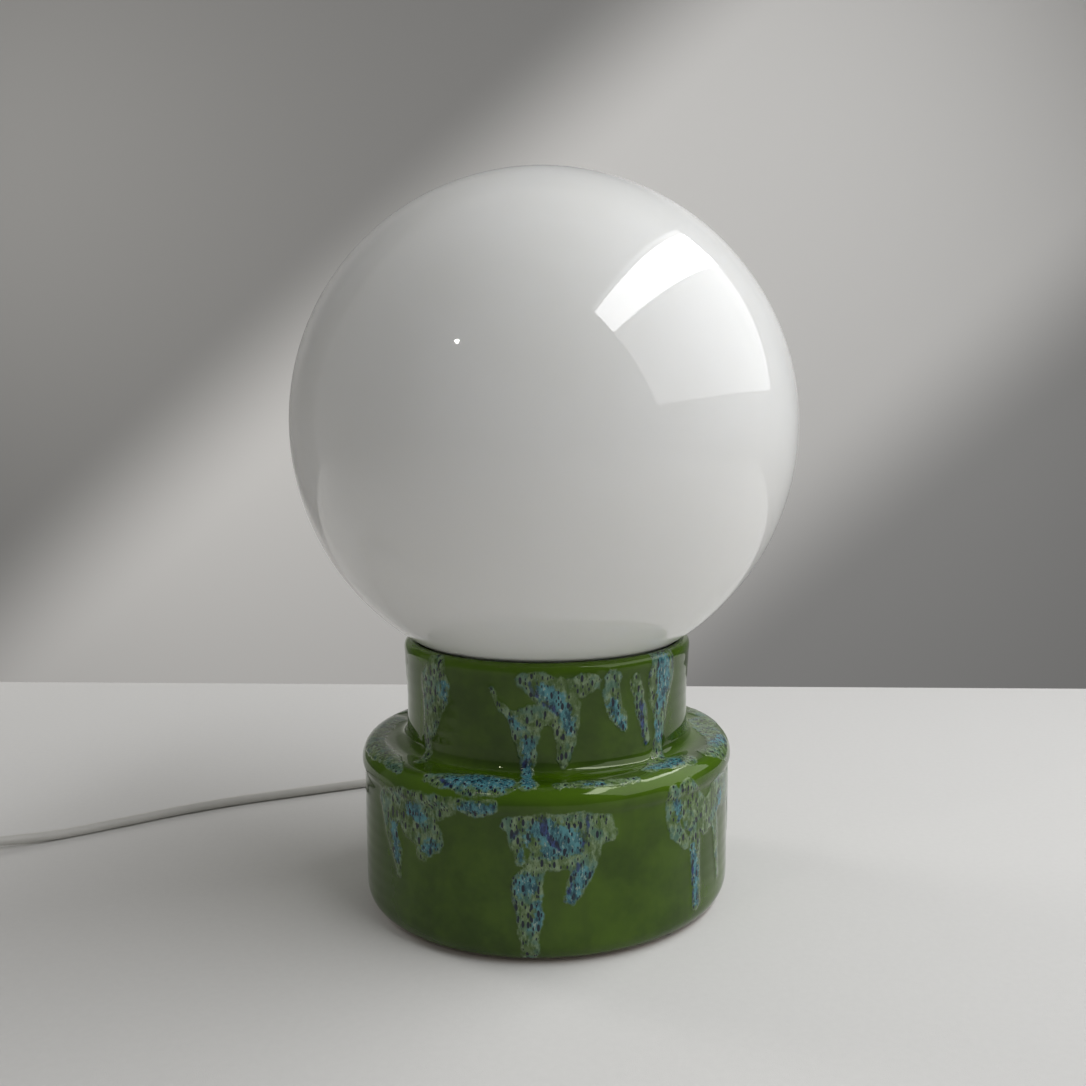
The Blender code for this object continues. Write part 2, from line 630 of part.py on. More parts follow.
def make_switch(looks, lamp):
    switch = empty("inline_switch", SWITCH_PLACE, lamp, SWITCH_HEADING)
    base = switch_shell("switch_base", 0.2, SWITCH_PART_Z, looks, switch)
    cover = switch_shell("switch_cover", SWITCH_PART_Z + GAP, SWITCH_TOP_Z, looks, switch)
    for room in switch_rooms(switch):
        cut(base, room)
        cut(cover, room)
    cut(cover, place(block("rocker_window", (18.4, 10.6, 12.0), None), (0, 0, 15.0), switch))
    pin_hole = face_along(rod_cutter("pivot_pin_hole", 1.2, -8.7, 8.7, 12), "Y")
    cut(cover, place(pin_hole, (0, 0, ROCKER_PIVOT_Z), switch))
    make_rocker(looks, switch)
    for i, (x, y) in enumerate(SWITCH_SCREWS):
        profile = [(0, 0.5), (2.6, 0.5), (2.6, 2.2), (1.3, 2.2), (1.3, 11.0), (0, 11.0)]
        screw = place(turned(f"switch_screw_{i + 1}", profile, looks["steel"], 14), (x, y, 0), switch)
        cut(screw, place(block(f"switch_screw_slit_{i + 1}", (6, 0.8, 1.8), None), (x, y, 0.5), switch))
    for side, name in ((-1, "fixed"), (1, "moving")):
        strip = [(1.0, 2.2), (11.5, 2.2), (11.5, 6.4), (11.0, 6.4), (11.0, 2.8), (1.0, 2.8)]
        strip = [(side * x, z) for x, z in strip]
        place(extruded(f"switch_contact_{name}", strip, 5.0, looks["brass"]), parent=switch)


def make_coil(looks, lamp):
    inner = COIL_INNER_TURN - CORD_RADIUS - 0.2
    outer = COIL_OUTER_TURN + CORD_RADIUS + 0.2
    section = [
        (inner, 3.0), (inner + 2, COIL_LOW_Z), (outer - 2, COIL_LOW_Z), (outer, 3.0),
        (outer, 10.8), (outer - 2, COIL_HIGH_Z), (inner + 2, COIL_HIGH_Z), (inner, 10.8),
    ]  # fmt: skip
    coil = empty("cord_coil_place", (*COIL_PLACE, 0), lamp, TIE_ANGLE)
    place(turned("cord_coil", section, looks["cord"], 24), parent=coil)
    middle, width = (inner + outer) / 2, outer - inner
    tie = block("cord_tie", (width + 3.4, TIE_WIDTH, 14.2), looks["tie"], edge=0.6)
    place(tie, (middle, 0, 7.2), coil)
    room = block("cord_tie_room", (width + 1.8, TIE_WIDTH + 4, COIL_HIGH_Z - COIL_LOW_Z + 0.7), None)
    cut(tie, place(room, (middle - 0.2, 0, (COIL_LOW_Z + COIL_HIGH_Z) / 2), coil))
    tube("cord_tail", TAIL_ROUTE, CORD_RADIUS, looks["cord"], spacing=10.0, parent=lamp)
    tube("cord_end", END_ROUTE, CORD_RADIUS, looks["cord"], spacing=7.0, parent=lamp)


def make_plug(looks, lamp):
    plug = empty("plug", PLUG_PLACE, lamp)
    half = PLUG_HALF_LENGTH
    outline = [(-half, 6.4), (-half + 7, 9.0), (-half + 17, 17.0), (half - 1.5, 17.6), (half, 16.4)]
    outline += [(x, -y) for x, y in reversed(outline)]
    body = extruded("plug_body", outline, PLUG_THICKNESS, looks["cord"])
    body.rotation_euler.x = math.radians(-90)
    bevel = body.modifiers.new("soft_edges", "BEVEL")
    bevel.width = 2.2 * MM
    bevel.segments = 2
    place(body, parent=plug)
    boot = [(BUSHING_BORE, -34.0), (3.7, -34.0), (5.8, -half - GAP), (BUSHING_BORE, -half - GAP)]
    place(face_along(turned("plug_boot", boot, looks["cord"], 16), "X"), parent=plug)
    for side, name in ((-1, "left"), (1, "right")):
        y = side * PLUG_PIN_SPACING / 2
        hole = face_along(rod_cutter(f"pin_hole_{name}", 2.25, half - 7, half + 4, 14), "X")
        cut(body, place(hole, (0, y, 0), plug))
        pin = [(0, half - 6.5), (1.25, half - 6.5), (1.25, half + 9.8), (2.0, half + 9.8)]
        pin += [(2.0, half + PLUG_PIN_LENGTH - 1), (1.3, half + PLUG_PIN_LENGTH), (0, half + PLUG_PIN_LENGTH)]
        place(face_along(turned(f"plug_pin_{name}", pin, looks["nickel"], 14), "X"), (0, y, 0), plug)
        sleeve = washer(1.55, 1.9, half - 6.0, half + 9.5)
        place(face_along(turned(f"pin_sleeve_{name}", sleeve, looks["rocker"], 14), "X"), (0, y, 0), plug)


def main():
    clear_scene()
    looks = {
        "glaze": material("glazed_ceramic", (0.09, 0.20, 0.02), 0.12),
        "felt": material("felt", (0.02, 0.02, 0.02), 0.95),
        "opal": material("opal_glass", (0.80, 0.80, 0.77), 0.06),
        "clear": material("clear_glass", (0.85, 0.88, 0.88), 0.03),
        "brass": material("brass", (0.72, 0.53, 0.24), 0.3, 1.0),
        "steel": material("zinc_steel", (0.62, 0.62, 0.62), 0.35, 1.0),
        "nickel": material("nickel", (0.78, 0.75, 0.70), 0.2, 1.0),
        "solder": material("solder", (0.60, 0.60, 0.60), 0.4, 1.0),
        "bakelite": material("bakelite", (0.03, 0.02, 0.015), 0.25),
        "porcelain": material("porcelain", (0.85, 0.83, 0.78), 0.2),
        "vitrite": material("vitrite", (0.02, 0.02, 0.025), 0.15),
        "tungsten": material("tungsten", (0.25, 0.24, 0.23), 0.5, 1.0),
        "cord": material("cord_vinyl", (0.62, 0.61, 0.58), 0.45),
        "switch": material("switch_plastic", (0.70, 0.69, 0.65), 0.3),
        "rocker": material("rocker_plastic", (0.55, 0.54, 0.50), 0.3),
        "tie": material("tie_strap", (0.05, 0.05, 0.05), 0.7),
        "neutral_wire": material("blue_wire", (0.03, 0.12, 0.50), 0.4),
        "live_wire": material("brown_wire", (0.20, 0.08, 0.03), 0.4),
    }
    lamp = empty("lamp")
    make_base(looks, lamp)
    make_globe(looks, lamp)
    make_stack(looks, lamp)
    make_screw_shell(looks, lamp)
    make_holder(looks, lamp)
    make_bulb(looks, lamp)
    make_bushing(looks, lamp)
    make_switch(looks, lamp)
    make_coil(looks, lamp)
    make_plug(looks, lamp)


main()
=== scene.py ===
# %% [markdown]
# # A globe table lamp
# The lamp is a glazed earthenware base with a round shoulder and a tall collar. An opal glass
# globe rests in the collar, and a screw lamp holder with its bulb stands inside. A pale mains
# cord leaves the back of the base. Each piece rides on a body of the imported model, so it moves
# the way the real one does. Sizes are written in millimetres and become metres in the helpers.

# %% Load the frame
import json
import math
import random

import bmesh
import bpy
import numpy as np
from mathutils import Matrix, Vector, noise


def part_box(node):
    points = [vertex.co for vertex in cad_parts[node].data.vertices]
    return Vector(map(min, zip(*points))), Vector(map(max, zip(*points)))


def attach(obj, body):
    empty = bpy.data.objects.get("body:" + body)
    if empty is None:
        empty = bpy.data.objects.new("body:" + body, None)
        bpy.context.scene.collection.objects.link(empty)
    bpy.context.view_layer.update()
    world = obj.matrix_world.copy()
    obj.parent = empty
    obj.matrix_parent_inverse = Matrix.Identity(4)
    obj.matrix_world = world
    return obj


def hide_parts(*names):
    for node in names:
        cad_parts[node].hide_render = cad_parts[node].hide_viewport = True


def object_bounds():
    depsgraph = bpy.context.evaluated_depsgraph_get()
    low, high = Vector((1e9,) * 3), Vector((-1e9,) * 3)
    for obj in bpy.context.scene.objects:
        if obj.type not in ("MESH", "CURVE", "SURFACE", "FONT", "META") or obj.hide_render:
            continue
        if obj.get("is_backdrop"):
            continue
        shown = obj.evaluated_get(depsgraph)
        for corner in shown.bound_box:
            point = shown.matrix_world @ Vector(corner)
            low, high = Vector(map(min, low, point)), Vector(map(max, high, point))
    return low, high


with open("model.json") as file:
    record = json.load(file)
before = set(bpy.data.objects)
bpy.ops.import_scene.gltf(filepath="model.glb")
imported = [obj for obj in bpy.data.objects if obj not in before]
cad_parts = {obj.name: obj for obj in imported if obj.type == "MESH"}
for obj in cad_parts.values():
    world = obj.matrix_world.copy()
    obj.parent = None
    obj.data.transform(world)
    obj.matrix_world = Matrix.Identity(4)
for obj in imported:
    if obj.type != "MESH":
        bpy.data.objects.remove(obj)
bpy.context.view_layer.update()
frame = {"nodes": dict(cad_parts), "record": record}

MM = 0.001

# %% [markdown]
# ## The camera
# The lamp is seen from a little above its middle, at about half a metre. The lens is shifted a
# little sideways, which keeps the lamp upright while it stands off the lens's own axis, and the
# camera is tilted by a third of a degree. Depth of field stays off.

# %% Camera
camera_data = bpy.data.cameras.new("camera")
camera_data.sensor_width = 36.0
camera_data.lens = 36.0
camera_data.shift_x = -0.072
camera = bpy.data.objects.new("camera", camera_data)
bpy.context.scene.collection.objects.link(camera)
look_down, roll = math.radians(90.0 - 6.52), math.radians(0.36)
camera.matrix_world = (
    Matrix.Translation((0.0373, -0.5504, 0.2422))
    @ Matrix.Rotation(look_down, 4, "X")
    @ Matrix.Rotation(roll, 4, "Z")
)
bpy.context.scene.camera = camera
print("camera at", tuple(round(c, 3) for c in camera.matrix_world.translation))

# %% [markdown]
# ## Smooth lines
# Ceramic profiles and cords are both soft curves through a few known points. A Catmull-Rom curve
# passes through every point it is given, so one helper serves both. It reads the curve finely
# and then spaces the points evenly.


# %% Helper: a smooth line through points
def smooth_line(route, spacing):
    """Evenly spaced points of one smooth curve through the route's points, in two or three axes."""
    points = np.array(route, float)
    points = np.vstack([2 * points[0] - points[1], points, 2 * points[-1] - points[-2]])
    t = np.linspace(0, 1, 25)[:-1, None]
    fine = []
    for before, start, end, after in zip(points, points[1:], points[2:], points[3:]):
        bend = 2 * before - 5 * start + 4 * end - after
        twist = 3 * start - before - 3 * end + after
        fine.append((2 * start + (end - before) * t + bend * t**2 + twist * t**3) / 2)
    fine = np.vstack([*fine, points[-2]])
    along = np.r_[0, np.cumsum(np.linalg.norm(np.diff(fine, axis=0), axis=1))]
    wanted = np.linspace(0, along[-1], max(2, round(along[-1] / spacing)) + 1)
    return np.column_stack([np.interp(wanted, along, fine[:, k]) for k in range(fine.shape[1])])


def arc(centre_a, centre_b, radius, start, end, steps):
    """Points of an arc, its angles in degrees."""
    angles = np.radians(np.linspace(start, end, steps + 1))
    return [(centre_a + radius * math.cos(a), centre_b + radius * math.sin(a)) for a in angles]


# %% [markdown]
# ## Making a piece
# Most of the lamp is turned: a bmesh wire in the XZ plane is spun round Z. Every finished piece
# is handed to one function, which recalculates its normals, shades it, gives it a material,
# parents it to the empty of the body it rides on and hides the plain solids it stands for.


# %% Helpers: wires, spun shapes and finished pieces
def wire(points, closed=True):
    """A bmesh wire through (r, z) points in millimetres."""
    bm = bmesh.new()
    verts = [bm.verts.new((r * MM, 0, z * MM)) for r, z in points]
    for pair in zip(verts, verts[1:]):
        bm.edges.new(pair)
    if closed:
        bm.edges.new((verts[-1], verts[0]))
    return bm


def rounded(bm, radius):
    """The wire with its corners rounded."""
    bmesh.ops.bevel(
        bm, geom=bm.verts[:], offset=radius * MM, offset_type="OFFSET", segments=3,
        profile=0.5, affect="VERTICES", material=-1, clamp_overlap=True,
    )
    return bm


def spun(bm, segments):
    """The wire turned once round Z."""
    bmesh.ops.spin(
        bm, geom=bm.verts[:] + bm.edges[:], cent=(0, 0, 0), axis=(0, 0, 1),
        angle=math.tau, steps=segments, use_merge=True,
    )
    bmesh.ops.remove_doubles(bm, verts=bm.verts, dist=1e-6)
    return bm


def finished(name, bm, look, body, stands_for=(), place=None, smooth=40, recalc=True):
    """The bmesh as a piece of the lamp, with its place in its mesh."""
    if place is not None:
        bmesh.ops.transform(bm, matrix=place, verts=bm.verts)
    if recalc:
        bmesh.ops.recalc_face_normals(bm, faces=bm.faces)
    mesh = bpy.data.meshes.new(name)
    bm.to_mesh(mesh)
    bm.free()
    mesh.shade_smooth()
    mesh.set_sharp_from_angle(angle=math.radians(smooth))
    mesh.materials.append(look)
    piece = bpy.data.objects.new(name, mesh)
    bpy.context.scene.collection.objects.link(piece)
    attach(piece, body)
    if stands_for:
        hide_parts(*stands_for)
    print(f"{name}: {len(mesh.polygons)} faces")
    return piece


# %% [markdown]
# ## The cord's route
# It is one round two-core cord of 1.8 m. It leaves the back of the base, bends to the left along
# the table, runs through a switch, is wound into a neat coil of two layers, and ends in its plug.
# The route is settled here, before any looks.

# %% The cord's points
CORD_RADIUS = 2.75
CORD_EXIT = (0.0, 120.0, 20.0)
LEAD = [
    (0.0, 112.3, 20.0), (0.0, 122.5, 20.0), (-1.5, 135.0, 17.3), (-7.0, 149.0, 12.2),
    (-18.0, 160.5, 7.0), (-35.0, 167.5, 3.9), (-56.0, 168.0, 2.9), (-79.0, 163.0, 2.9),
    (-102.0, 155.0, 2.9), (-124.0, 145.5, 2.9), (-146.0, 135.0, 2.9), (-172.0, 122.7, 2.9),
    (-203.0, 107.6, 2.9), (-232.0, 89.5, 2.9), (-258.5, 69.5, 2.9), (-284.0, 51.2, 2.9),
    (-306.3, 37.4, 4.5), (-319.4, 30.0, 6.15), (-333.2, 22.0, 6.15),
]
TAIL = [
    (-374.8, -2.0, 6.15), (-386.9, -9.0, 6.15), (-397.5, -18.0, 5.3), (-403.2, -29.5, 4.3),
    (-404.4, -41.5, 4.05), (-404.1, -52.0, 4.05),
]
END = [(-342.5, -104.3, 7.8), (-334.0, -103.5, 7.1), (-326.0, -103.5, 7.1), (-306.0, -103.5, 7.1)]
COIL_PLACE = (-364.0, -63.5)
COIL_TURNS = 6.25


def coil_points():
    """Down the lower layer to the middle, up a short ramp, and out again along the upper layer."""
    points = []
    for i in range(round(COIL_TURNS * 24) + 1):
        turns = i / 24
        angle = math.radians(180 + 360 * turns)
        climb = min(1.0, max(0.0, (turns - 3.0) / 0.25))
        radius = 40.0 - 5.7 * min(turns, 3.0) + 5.7 * max(0.0, turns - 3.25)
        height = 4.05 + 5.55 * climb * climb * (3 - 2 * climb)
        x, y = COIL_PLACE[0] + radius * math.cos(angle), COIL_PLACE[1] + radius * math.sin(angle)
        points.append((x, y, height))
    return points


cord_path = smooth_line(LEAD + TAIL + coil_points() + END, 3.0) * MM

# %% [markdown]
# ## Materials: shared effects
# No real surface is one flat colour. One small node group gives the changes that most finishes
# share: a slow drift of the colour, handling marks in the gloss, and a fine grain for the bump.
# It reads Object coordinates, in metres, so its scale is a real one. Each finish gives it its own
# values, and the numbers that are the same all over sit on the shader's own sockets.


# %% Helpers: node groups and materials
def new_group(name, inputs, outputs):
    group = bpy.data.node_groups.new(name, "ShaderNodeTree")
    for label, kind, value in inputs:
        made = group.interface.new_socket(label, in_out="INPUT", socket_type=kind)
        made.default_value = value
    for label, kind in outputs:
        group.interface.new_socket(label, in_out="OUTPUT", socket_type=kind)
    return group, group.nodes.new("NodeGroupInput"), group.nodes.new("NodeGroupOutput")


def node(tree, kind, links=None, **settings):
    """A node with its settings, and its inputs as sockets to link or values to set."""
    made = tree.nodes.new(kind)
    for key, value in settings.items():
        setattr(made, key, value)
    for key, value in (links or {}).items():
        if isinstance(value, bpy.types.NodeSocket):
            tree.links.new(value, made.inputs[key])
        else:
            made.inputs[key].default_value = value
    return made


def math_node(tree, operation, a, b=0.0, clamp=False):
    return node(tree, "ShaderNodeMath", {0: a, 1: b}, operation=operation, use_clamp=clamp).outputs[0]


def step(tree, value, low, high, to_low=0.0, to_high=1.0):
    """A soft step of the value between low and high."""
    made = node(tree, "ShaderNodeMapRange", {0: value, 1: low, 2: high, 3: to_low, 4: to_high})
    made.interpolation_type = "SMOOTHSTEP"
    return made.outputs[0]


def mix(tree, share, a, b, blend="MIX"):
    made = tree.nodes.new("ShaderNodeMix")
    made.data_type, made.blend_type, made.clamp_factor = "RGBA", blend, True
    for key, value in ((0, share), (6, a), (7, b)):
        if isinstance(value, bpy.types.NodeSocket):
            tree.links.new(value, made.inputs[key])
        else:
            made.inputs[key].default_value = (*value, 1.0) if isinstance(value, tuple) else value
    return made.outputs[2]


def noise_node(tree, where, scale, detail=3.0, roughness=0.5):
    links = {"Vector": where, "Scale": scale, "Detail": detail, "Roughness": roughness}
    return node(tree, "ShaderNodeTexNoise", links).outputs["Fac"]


# %% Group: surface drift and handling marks
NUMBER = "NodeSocketFloat"
COLOUR = "NodeSocketColor"
handled, given, result = new_group(
    "handled_surface",
    [("Colour", COLOUR, (0.8, 0.8, 0.8, 1)), ("Drift", NUMBER, 0.1), ("Scale", NUMBER, 60.0),
     ("Roughness", NUMBER, 0.3), ("Marks", NUMBER, 0.1), ("Grain", NUMBER, 900.0)],
    [("Colour", COLOUR), ("Roughness", NUMBER), ("Height", NUMBER)],
)
where = node(handled, "ShaderNodeTexCoord").outputs["Object"]
slow = noise_node(handled, where, given.outputs["Scale"], 4.0)
fine = noise_node(handled, where, given.outputs["Grain"], 2.0)
centred = math_node(handled, "MULTIPLY", math_node(handled, "SUBTRACT", slow, 0.5), 2.0)
shade = math_node(handled, "MULTIPLY_ADD", centred, given.outputs["Drift"])
shade.node.inputs[2].default_value = 1.0
tinted = node(handled, "ShaderNodeVectorMath", {0: given.outputs["Colour"]}, operation="SCALE")
handled.links.new(shade, tinted.inputs["Scale"])
handled.links.new(tinted.outputs[0], result.inputs["Colour"])
rough = math_node(handled, "MULTIPLY_ADD", centred, given.outputs["Marks"])
handled.links.new(given.outputs["Roughness"], rough.node.inputs[2])
handled.links.new(rough, result.inputs["Roughness"])
handled.links.new(fine, result.inputs["Height"])
print("group:", handled.name)


# %% Helpers: a new material, its bump, and a finish that uses the group
def new_material(name):
    made = bpy.data.materials.new(name)
    made.use_nodes = True
    tree = made.node_tree
    return made, tree, tree.nodes["Principled BSDF"]


def bump(tree, shader, height, strength, depth):
    """Bump from the height, which stands for the depth in millimetres where it is 1."""
    made = node(tree, "ShaderNodeBump", {"Height": height, "Strength": strength, "Distance": depth * MM})
    tree.links.new(made.outputs[0], shader.inputs["Normal"])


def plain_finish(
    name, colour, roughness, drift=0.08, marks=0.06, scale=60.0, grain=900.0, depth=0.02, **sockets
):
    """One colour with its drift, marks and grain. Depth is the grain's height in millimetres."""
    made, tree, shader = new_material(name)
    links = {"Colour": (*colour, 1), "Drift": drift, "Scale": scale, "Roughness": roughness}
    group = node(tree, "ShaderNodeGroup", node_tree=handled)
    for key, value in {**links, "Marks": marks, "Grain": grain}.items():
        group.inputs[key].default_value = value
    tree.links.new(group.outputs["Colour"], shader.inputs["Base Color"])
    tree.links.new(group.outputs["Roughness"], shader.inputs["Roughness"])
    bump(tree, shader, group.outputs["Height"], 0.6, depth)
    for key, value in sockets.items():
        shader.inputs[key.replace("_", " ")].default_value = value
    return made


# %% [markdown]
# ## The small parts' finishes
# Brass, zinc, nickel, phenolic plastic, porcelain and vinyl differ in colour, gloss and grain,
# and all of them use the group. Metals drift little in colour and more in gloss.

# %% Finishes for the small parts
looks = {
    "brass": plain_finish("satin_brass", (0.72, 0.50, 0.20), 0.28, 0.12, 0.12, 120, 1500, 0.01, Metallic=1.0),
    "zinc": plain_finish("zinc_plate", (0.60, 0.61, 0.62), 0.34, 0.10, 0.10, 200, 1400, 0.01, Metallic=1.0),
    "nickel": plain_finish(
        "nickel_plate", (0.76, 0.73, 0.68), 0.18, 0.06, 0.08, 160, 1200, 0.005, Metallic=1.0,
    ),
    "solder": plain_finish(
        "dull_solder", (0.55, 0.55, 0.56), 0.42, 0.15, 0.12, 500, 1600, 0.03, Metallic=1.0,
    ),
    "tungsten": plain_finish(
        "drawn_tungsten", (0.22, 0.21, 0.20), 0.45, 0.1, 0.1, 800, 3000, 0.01, Metallic=1.0,
    ),
    "bakelite": plain_finish("phenolic", (0.028, 0.017, 0.012), 0.22, 0.25, 0.05, 90, 700, 0.01),
    "porcelain": plain_finish("porcelain", (0.82, 0.80, 0.74), 0.30, 0.04, 0.08, 80, 900, 0.02),
    "black_glass": plain_finish("black_glass", (0.015, 0.015, 0.02), 0.12, 0.2, 0.04, 200, 600, 0.01),
    "cord_vinyl": plain_finish("cord_vinyl", (0.60, 0.59, 0.56), 0.42, 0.07, 0.07, 45, 1100, 0.03),
    "plug_plastic": plain_finish("plug_vinyl", (0.48, 0.47, 0.44), 0.40, 0.06, 0.06, 70, 1300, 0.04),
    "switch_plastic": plain_finish("switch_plastic", (0.55, 0.54, 0.50), 0.30, 0.05, 0.06, 60, 1500, 0.03),
    "rocker_plastic": plain_finish("rocker_plastic", (0.42, 0.41, 0.38), 0.28, 0.05, 0.05, 60, 1500, 0.02),
    "sleeve_plastic": plain_finish("sleeve_plastic", (0.05, 0.05, 0.05), 0.5, 0.1, 0.08, 90, 1000, 0.02),
    "blue_sleeve": plain_finish("blue_sleeve", (0.02, 0.10, 0.42), 0.38, 0.08, 0.05, 300, 1500, 0.01),
    "brown_sleeve": plain_finish("brown_sleeve", (0.14, 0.055, 0.02), 0.38, 0.10, 0.05, 300, 1500, 0.01),
}
record = frame["record"]
slot_of = {part["node"]: part["material_slot"] for part in record["subparts"]}
for name, piece in frame["nodes"].items():
    if slot_of[name] in looks:
        piece.data.materials.clear()
        piece.data.materials.append(looks[slot_of[name]])
print("finishes on the small parts:", len(looks))

# %% [markdown]
# ## The cord
# A poly curve with a round bevel is the simplest true tube: its points are its centreline.

# %% Cord
curve = bpy.data.curves.new("mains_cord", "CURVE")
curve.dimensions = "3D"
curve.bevel_depth = CORD_RADIUS * MM
curve.bevel_resolution = 4
curve.use_fill_caps = True
spline = curve.splines.new("POLY")
spline.points.add(len(cord_path) - 1)
for point, place in zip(spline.points, cord_path):
    point.co = (*place, 1.0)
curve.materials.append(looks["cord_vinyl"])
mains_cord = bpy.data.objects.new("mains_cord", curve)
bpy.context.scene.collection.objects.link(mains_cord)
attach(mains_cord, "base")
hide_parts("cord_lead", "cord_tail", "cord_end", "cord_coil")

# %% [markdown]
# ## The base's shape
# A thrown and glazed pot has no hard corner: the shoulder rolls over a soft bead, a hollow cove
# leads up into the collar and the lip is half round. The profile is drawn as smooth lines, fine
# where the glaze shows and coarse inside, and spun with enough segments for the glaze's relief.

# %% Base profile
OUTSIDE = [
    (69.0, 132.5), (70.9, 132.0), (72.2, 130.6), (72.6, 128.6), (72.4, 124.5), (72.0, 116.0),
    (71.5, 106.0), (71.5, 97.0), (71.8, 88.0), (72.2, 85.0), (73.4, 83.2), (75.2, 82.1),
    (77.4, 81.7), (80.5, 81.8), (84.0, 81.9), (87.5, 81.8), (90.2, 80.8), (92.4, 78.6),
    (93.8, 75.9), (94.2, 73.3), (93.9, 70.9), (93.2, 69.1), (93.0, 66.6), (93.0, 58.0),
    (93.0, 40.0), (93.0, 22.0), (93.0, 13.0), (92.7, 8.6), (91.9, 5.6), (90.2, 3.1), (88.2, 2.1),
]
INSIDE = [
    (84.0, 2.1), (79.0, 2.1), (76.6, 2.6), (76.0, 4.4), (77.6, 6.2), (82.8, 7.4), (86.0, 9.6),
    (86.6, 14.0), (86.6, 40.0), (86.6, 66.0), (86.3, 71.0), (84.4, 74.6), (80.0, 77.0),
    (73.0, 78.6), (62.0, 80.0), (40.0, 80.0), (12.0, 80.0), (6.4, 80.0), (5.9, 81.0),
    (5.9, 85.0), (6.4, 86.0), (12.0, 86.0), (40.0, 86.0), (58.0, 86.0), (61.4, 86.4),
    (63.8, 88.0), (65.0, 91.0), (65.3, 96.0), (65.3, 110.0), (65.3, 121.0), (65.2, 126.0),
    (65.4, 129.4), (66.7, 131.7),
]
outside_line = smooth_line(OUTSIDE, 1.0)
inside_line = smooth_line(INSIDE, 3.5)
down = np.r_[0, np.cumsum(np.linalg.norm(np.diff(outside_line, axis=0), axis=1))]
print(f"the outside is {down[-1]:.0f} mm from the lip to the foot")

# %% [markdown]
# ## Where the glaze ran
# A second, pale glaze was poured over the green one and ran down in sheets and legs, with
# turquoise where it lies thick and dark blue streaks in it. Each run is a stroke: a chain of
# (angle round the lamp, distance down from the lip, half width). The front is 0 degrees and the
# right hand side 90. The far side continues with strokes of the same kind in a seeded loop.

# %% Strokes of the poured glaze
RUNS = [
    [(-42, 8, 7), (-44, 18, 11), (-46, 30, 7.5), (-49, 44, 4), (-45, 58, 2.6)],
    [(-17, 14, 1.6), (-15, 20, 2), (-11, 25, 2.8), (-5, 29, 6)],
    [(-5, 26, 5), (-4, 29, 8), (-4, 35, 6.8), (-4, 41, 4.8), (-3.5, 50, 3), (-3, 60, 3.4), (-2, 66, 4.6)],
    [(-5, 9, 4), (1, 12, 7), (7, 17, 8.5), (4, 24, 6), (-2, 28, 5)],
    [(7, 17, 8), (11, 22, 6.5), (10, 30, 6.8), (10.5, 37, 5.6), (9.5, 45, 3.8), (9.5, 49, 2)],
    [(9, 12, 4.5), (15, 13, 6), (20.5, 11, 4)],
    [(27.5, 10, 4.2), (27.5, 17, 4.4), (28.5, 24, 4.6), (31.5, 30, 3.8), (33, 35, 2)],
    [(38, 13, 3.5), (41, 28, 3), (44, 42, 2.4)],
    [(52.5, 4, 8.5), (52, 13, 10.5), (51.5, 21, 8.5), (52, 31, 5.4), (52, 40, 3.4), (50, 49, 3.6),
     (46, 57, 5)],
    [(38, 62, 4.2), (45, 60, 7.5), (53, 63, 7)],
    [(64, 66, 4), (72, 70, 6.5), (82, 66, 7), (92, 60, 6), (101, 62, 8)],
    [(-33, 69, 3), (-27, 67, 6), (-19, 65, 9), (-12, 65, 9), (-8, 67, 5)],
    [(-21, 79, 3.6), (-17, 80, 4.6), (-12, 78, 4)],
    # This run over the left shoulder also stands in for a grey sheen there: partly pale glaze, partly a
    # painted reflection of the bright wall.
    [(-100, 64, 7), (-75, 67, 6), (-55, 66, 5), (-45, 70, 2.6)],
    [(6, 67, 2.2), (13, 66, 3.4), (22, 67.5, 3.2), (30, 68, 1.8)],
    [(-51, 86, 6), (-42, 84, 8), (-33, 84, 8), (-24, 80, 5)],
    [(-48, 92, 8), (-48, 100, 6), (-45, 109, 5), (-44, 119, 2.2)],
    [(-38, 92, 9), (-31, 97, 8), (-34, 106, 4)],
    [(-7, 86, 3.6), (1, 86, 6), (10, 87, 7), (19, 88, 5.6), (21, 92, 4)],
    [(-5, 88, 5), (-5, 94, 4), (-3.5, 103, 2.2)],
    [(2, 90, 9), (12, 91, 12), (6, 99, 9), (14, 99, 7), (12.5, 109, 5.8), (10, 120, 3.8)],
    [(4, 98, 7), (0, 106, 5), (-2, 113, 7), (-2, 119, 7), (-1, 127, 6), (-1.3, 137, 5), (-1.2, 147, 4)],
    [(41, 79, 4), (41.5, 90, 4.5), (43, 98, 4.5), (47, 105, 3.6)],
    [(47, 82, 8), (51, 92, 10), (57, 98, 8), (66, 88, 9), (76, 92, 8)],
    [(51, 104, 5), (51.5, 115, 3.8), (52.5, 128, 3.2), (52.5, 138, 3)],
    [(63, 100, 4), (64.5, 110, 3), (65, 120, 2.4), (66.5, 132, 2)],
    [(80, 90, 7), (84, 104, 5), (86, 118, 2.8)],
]
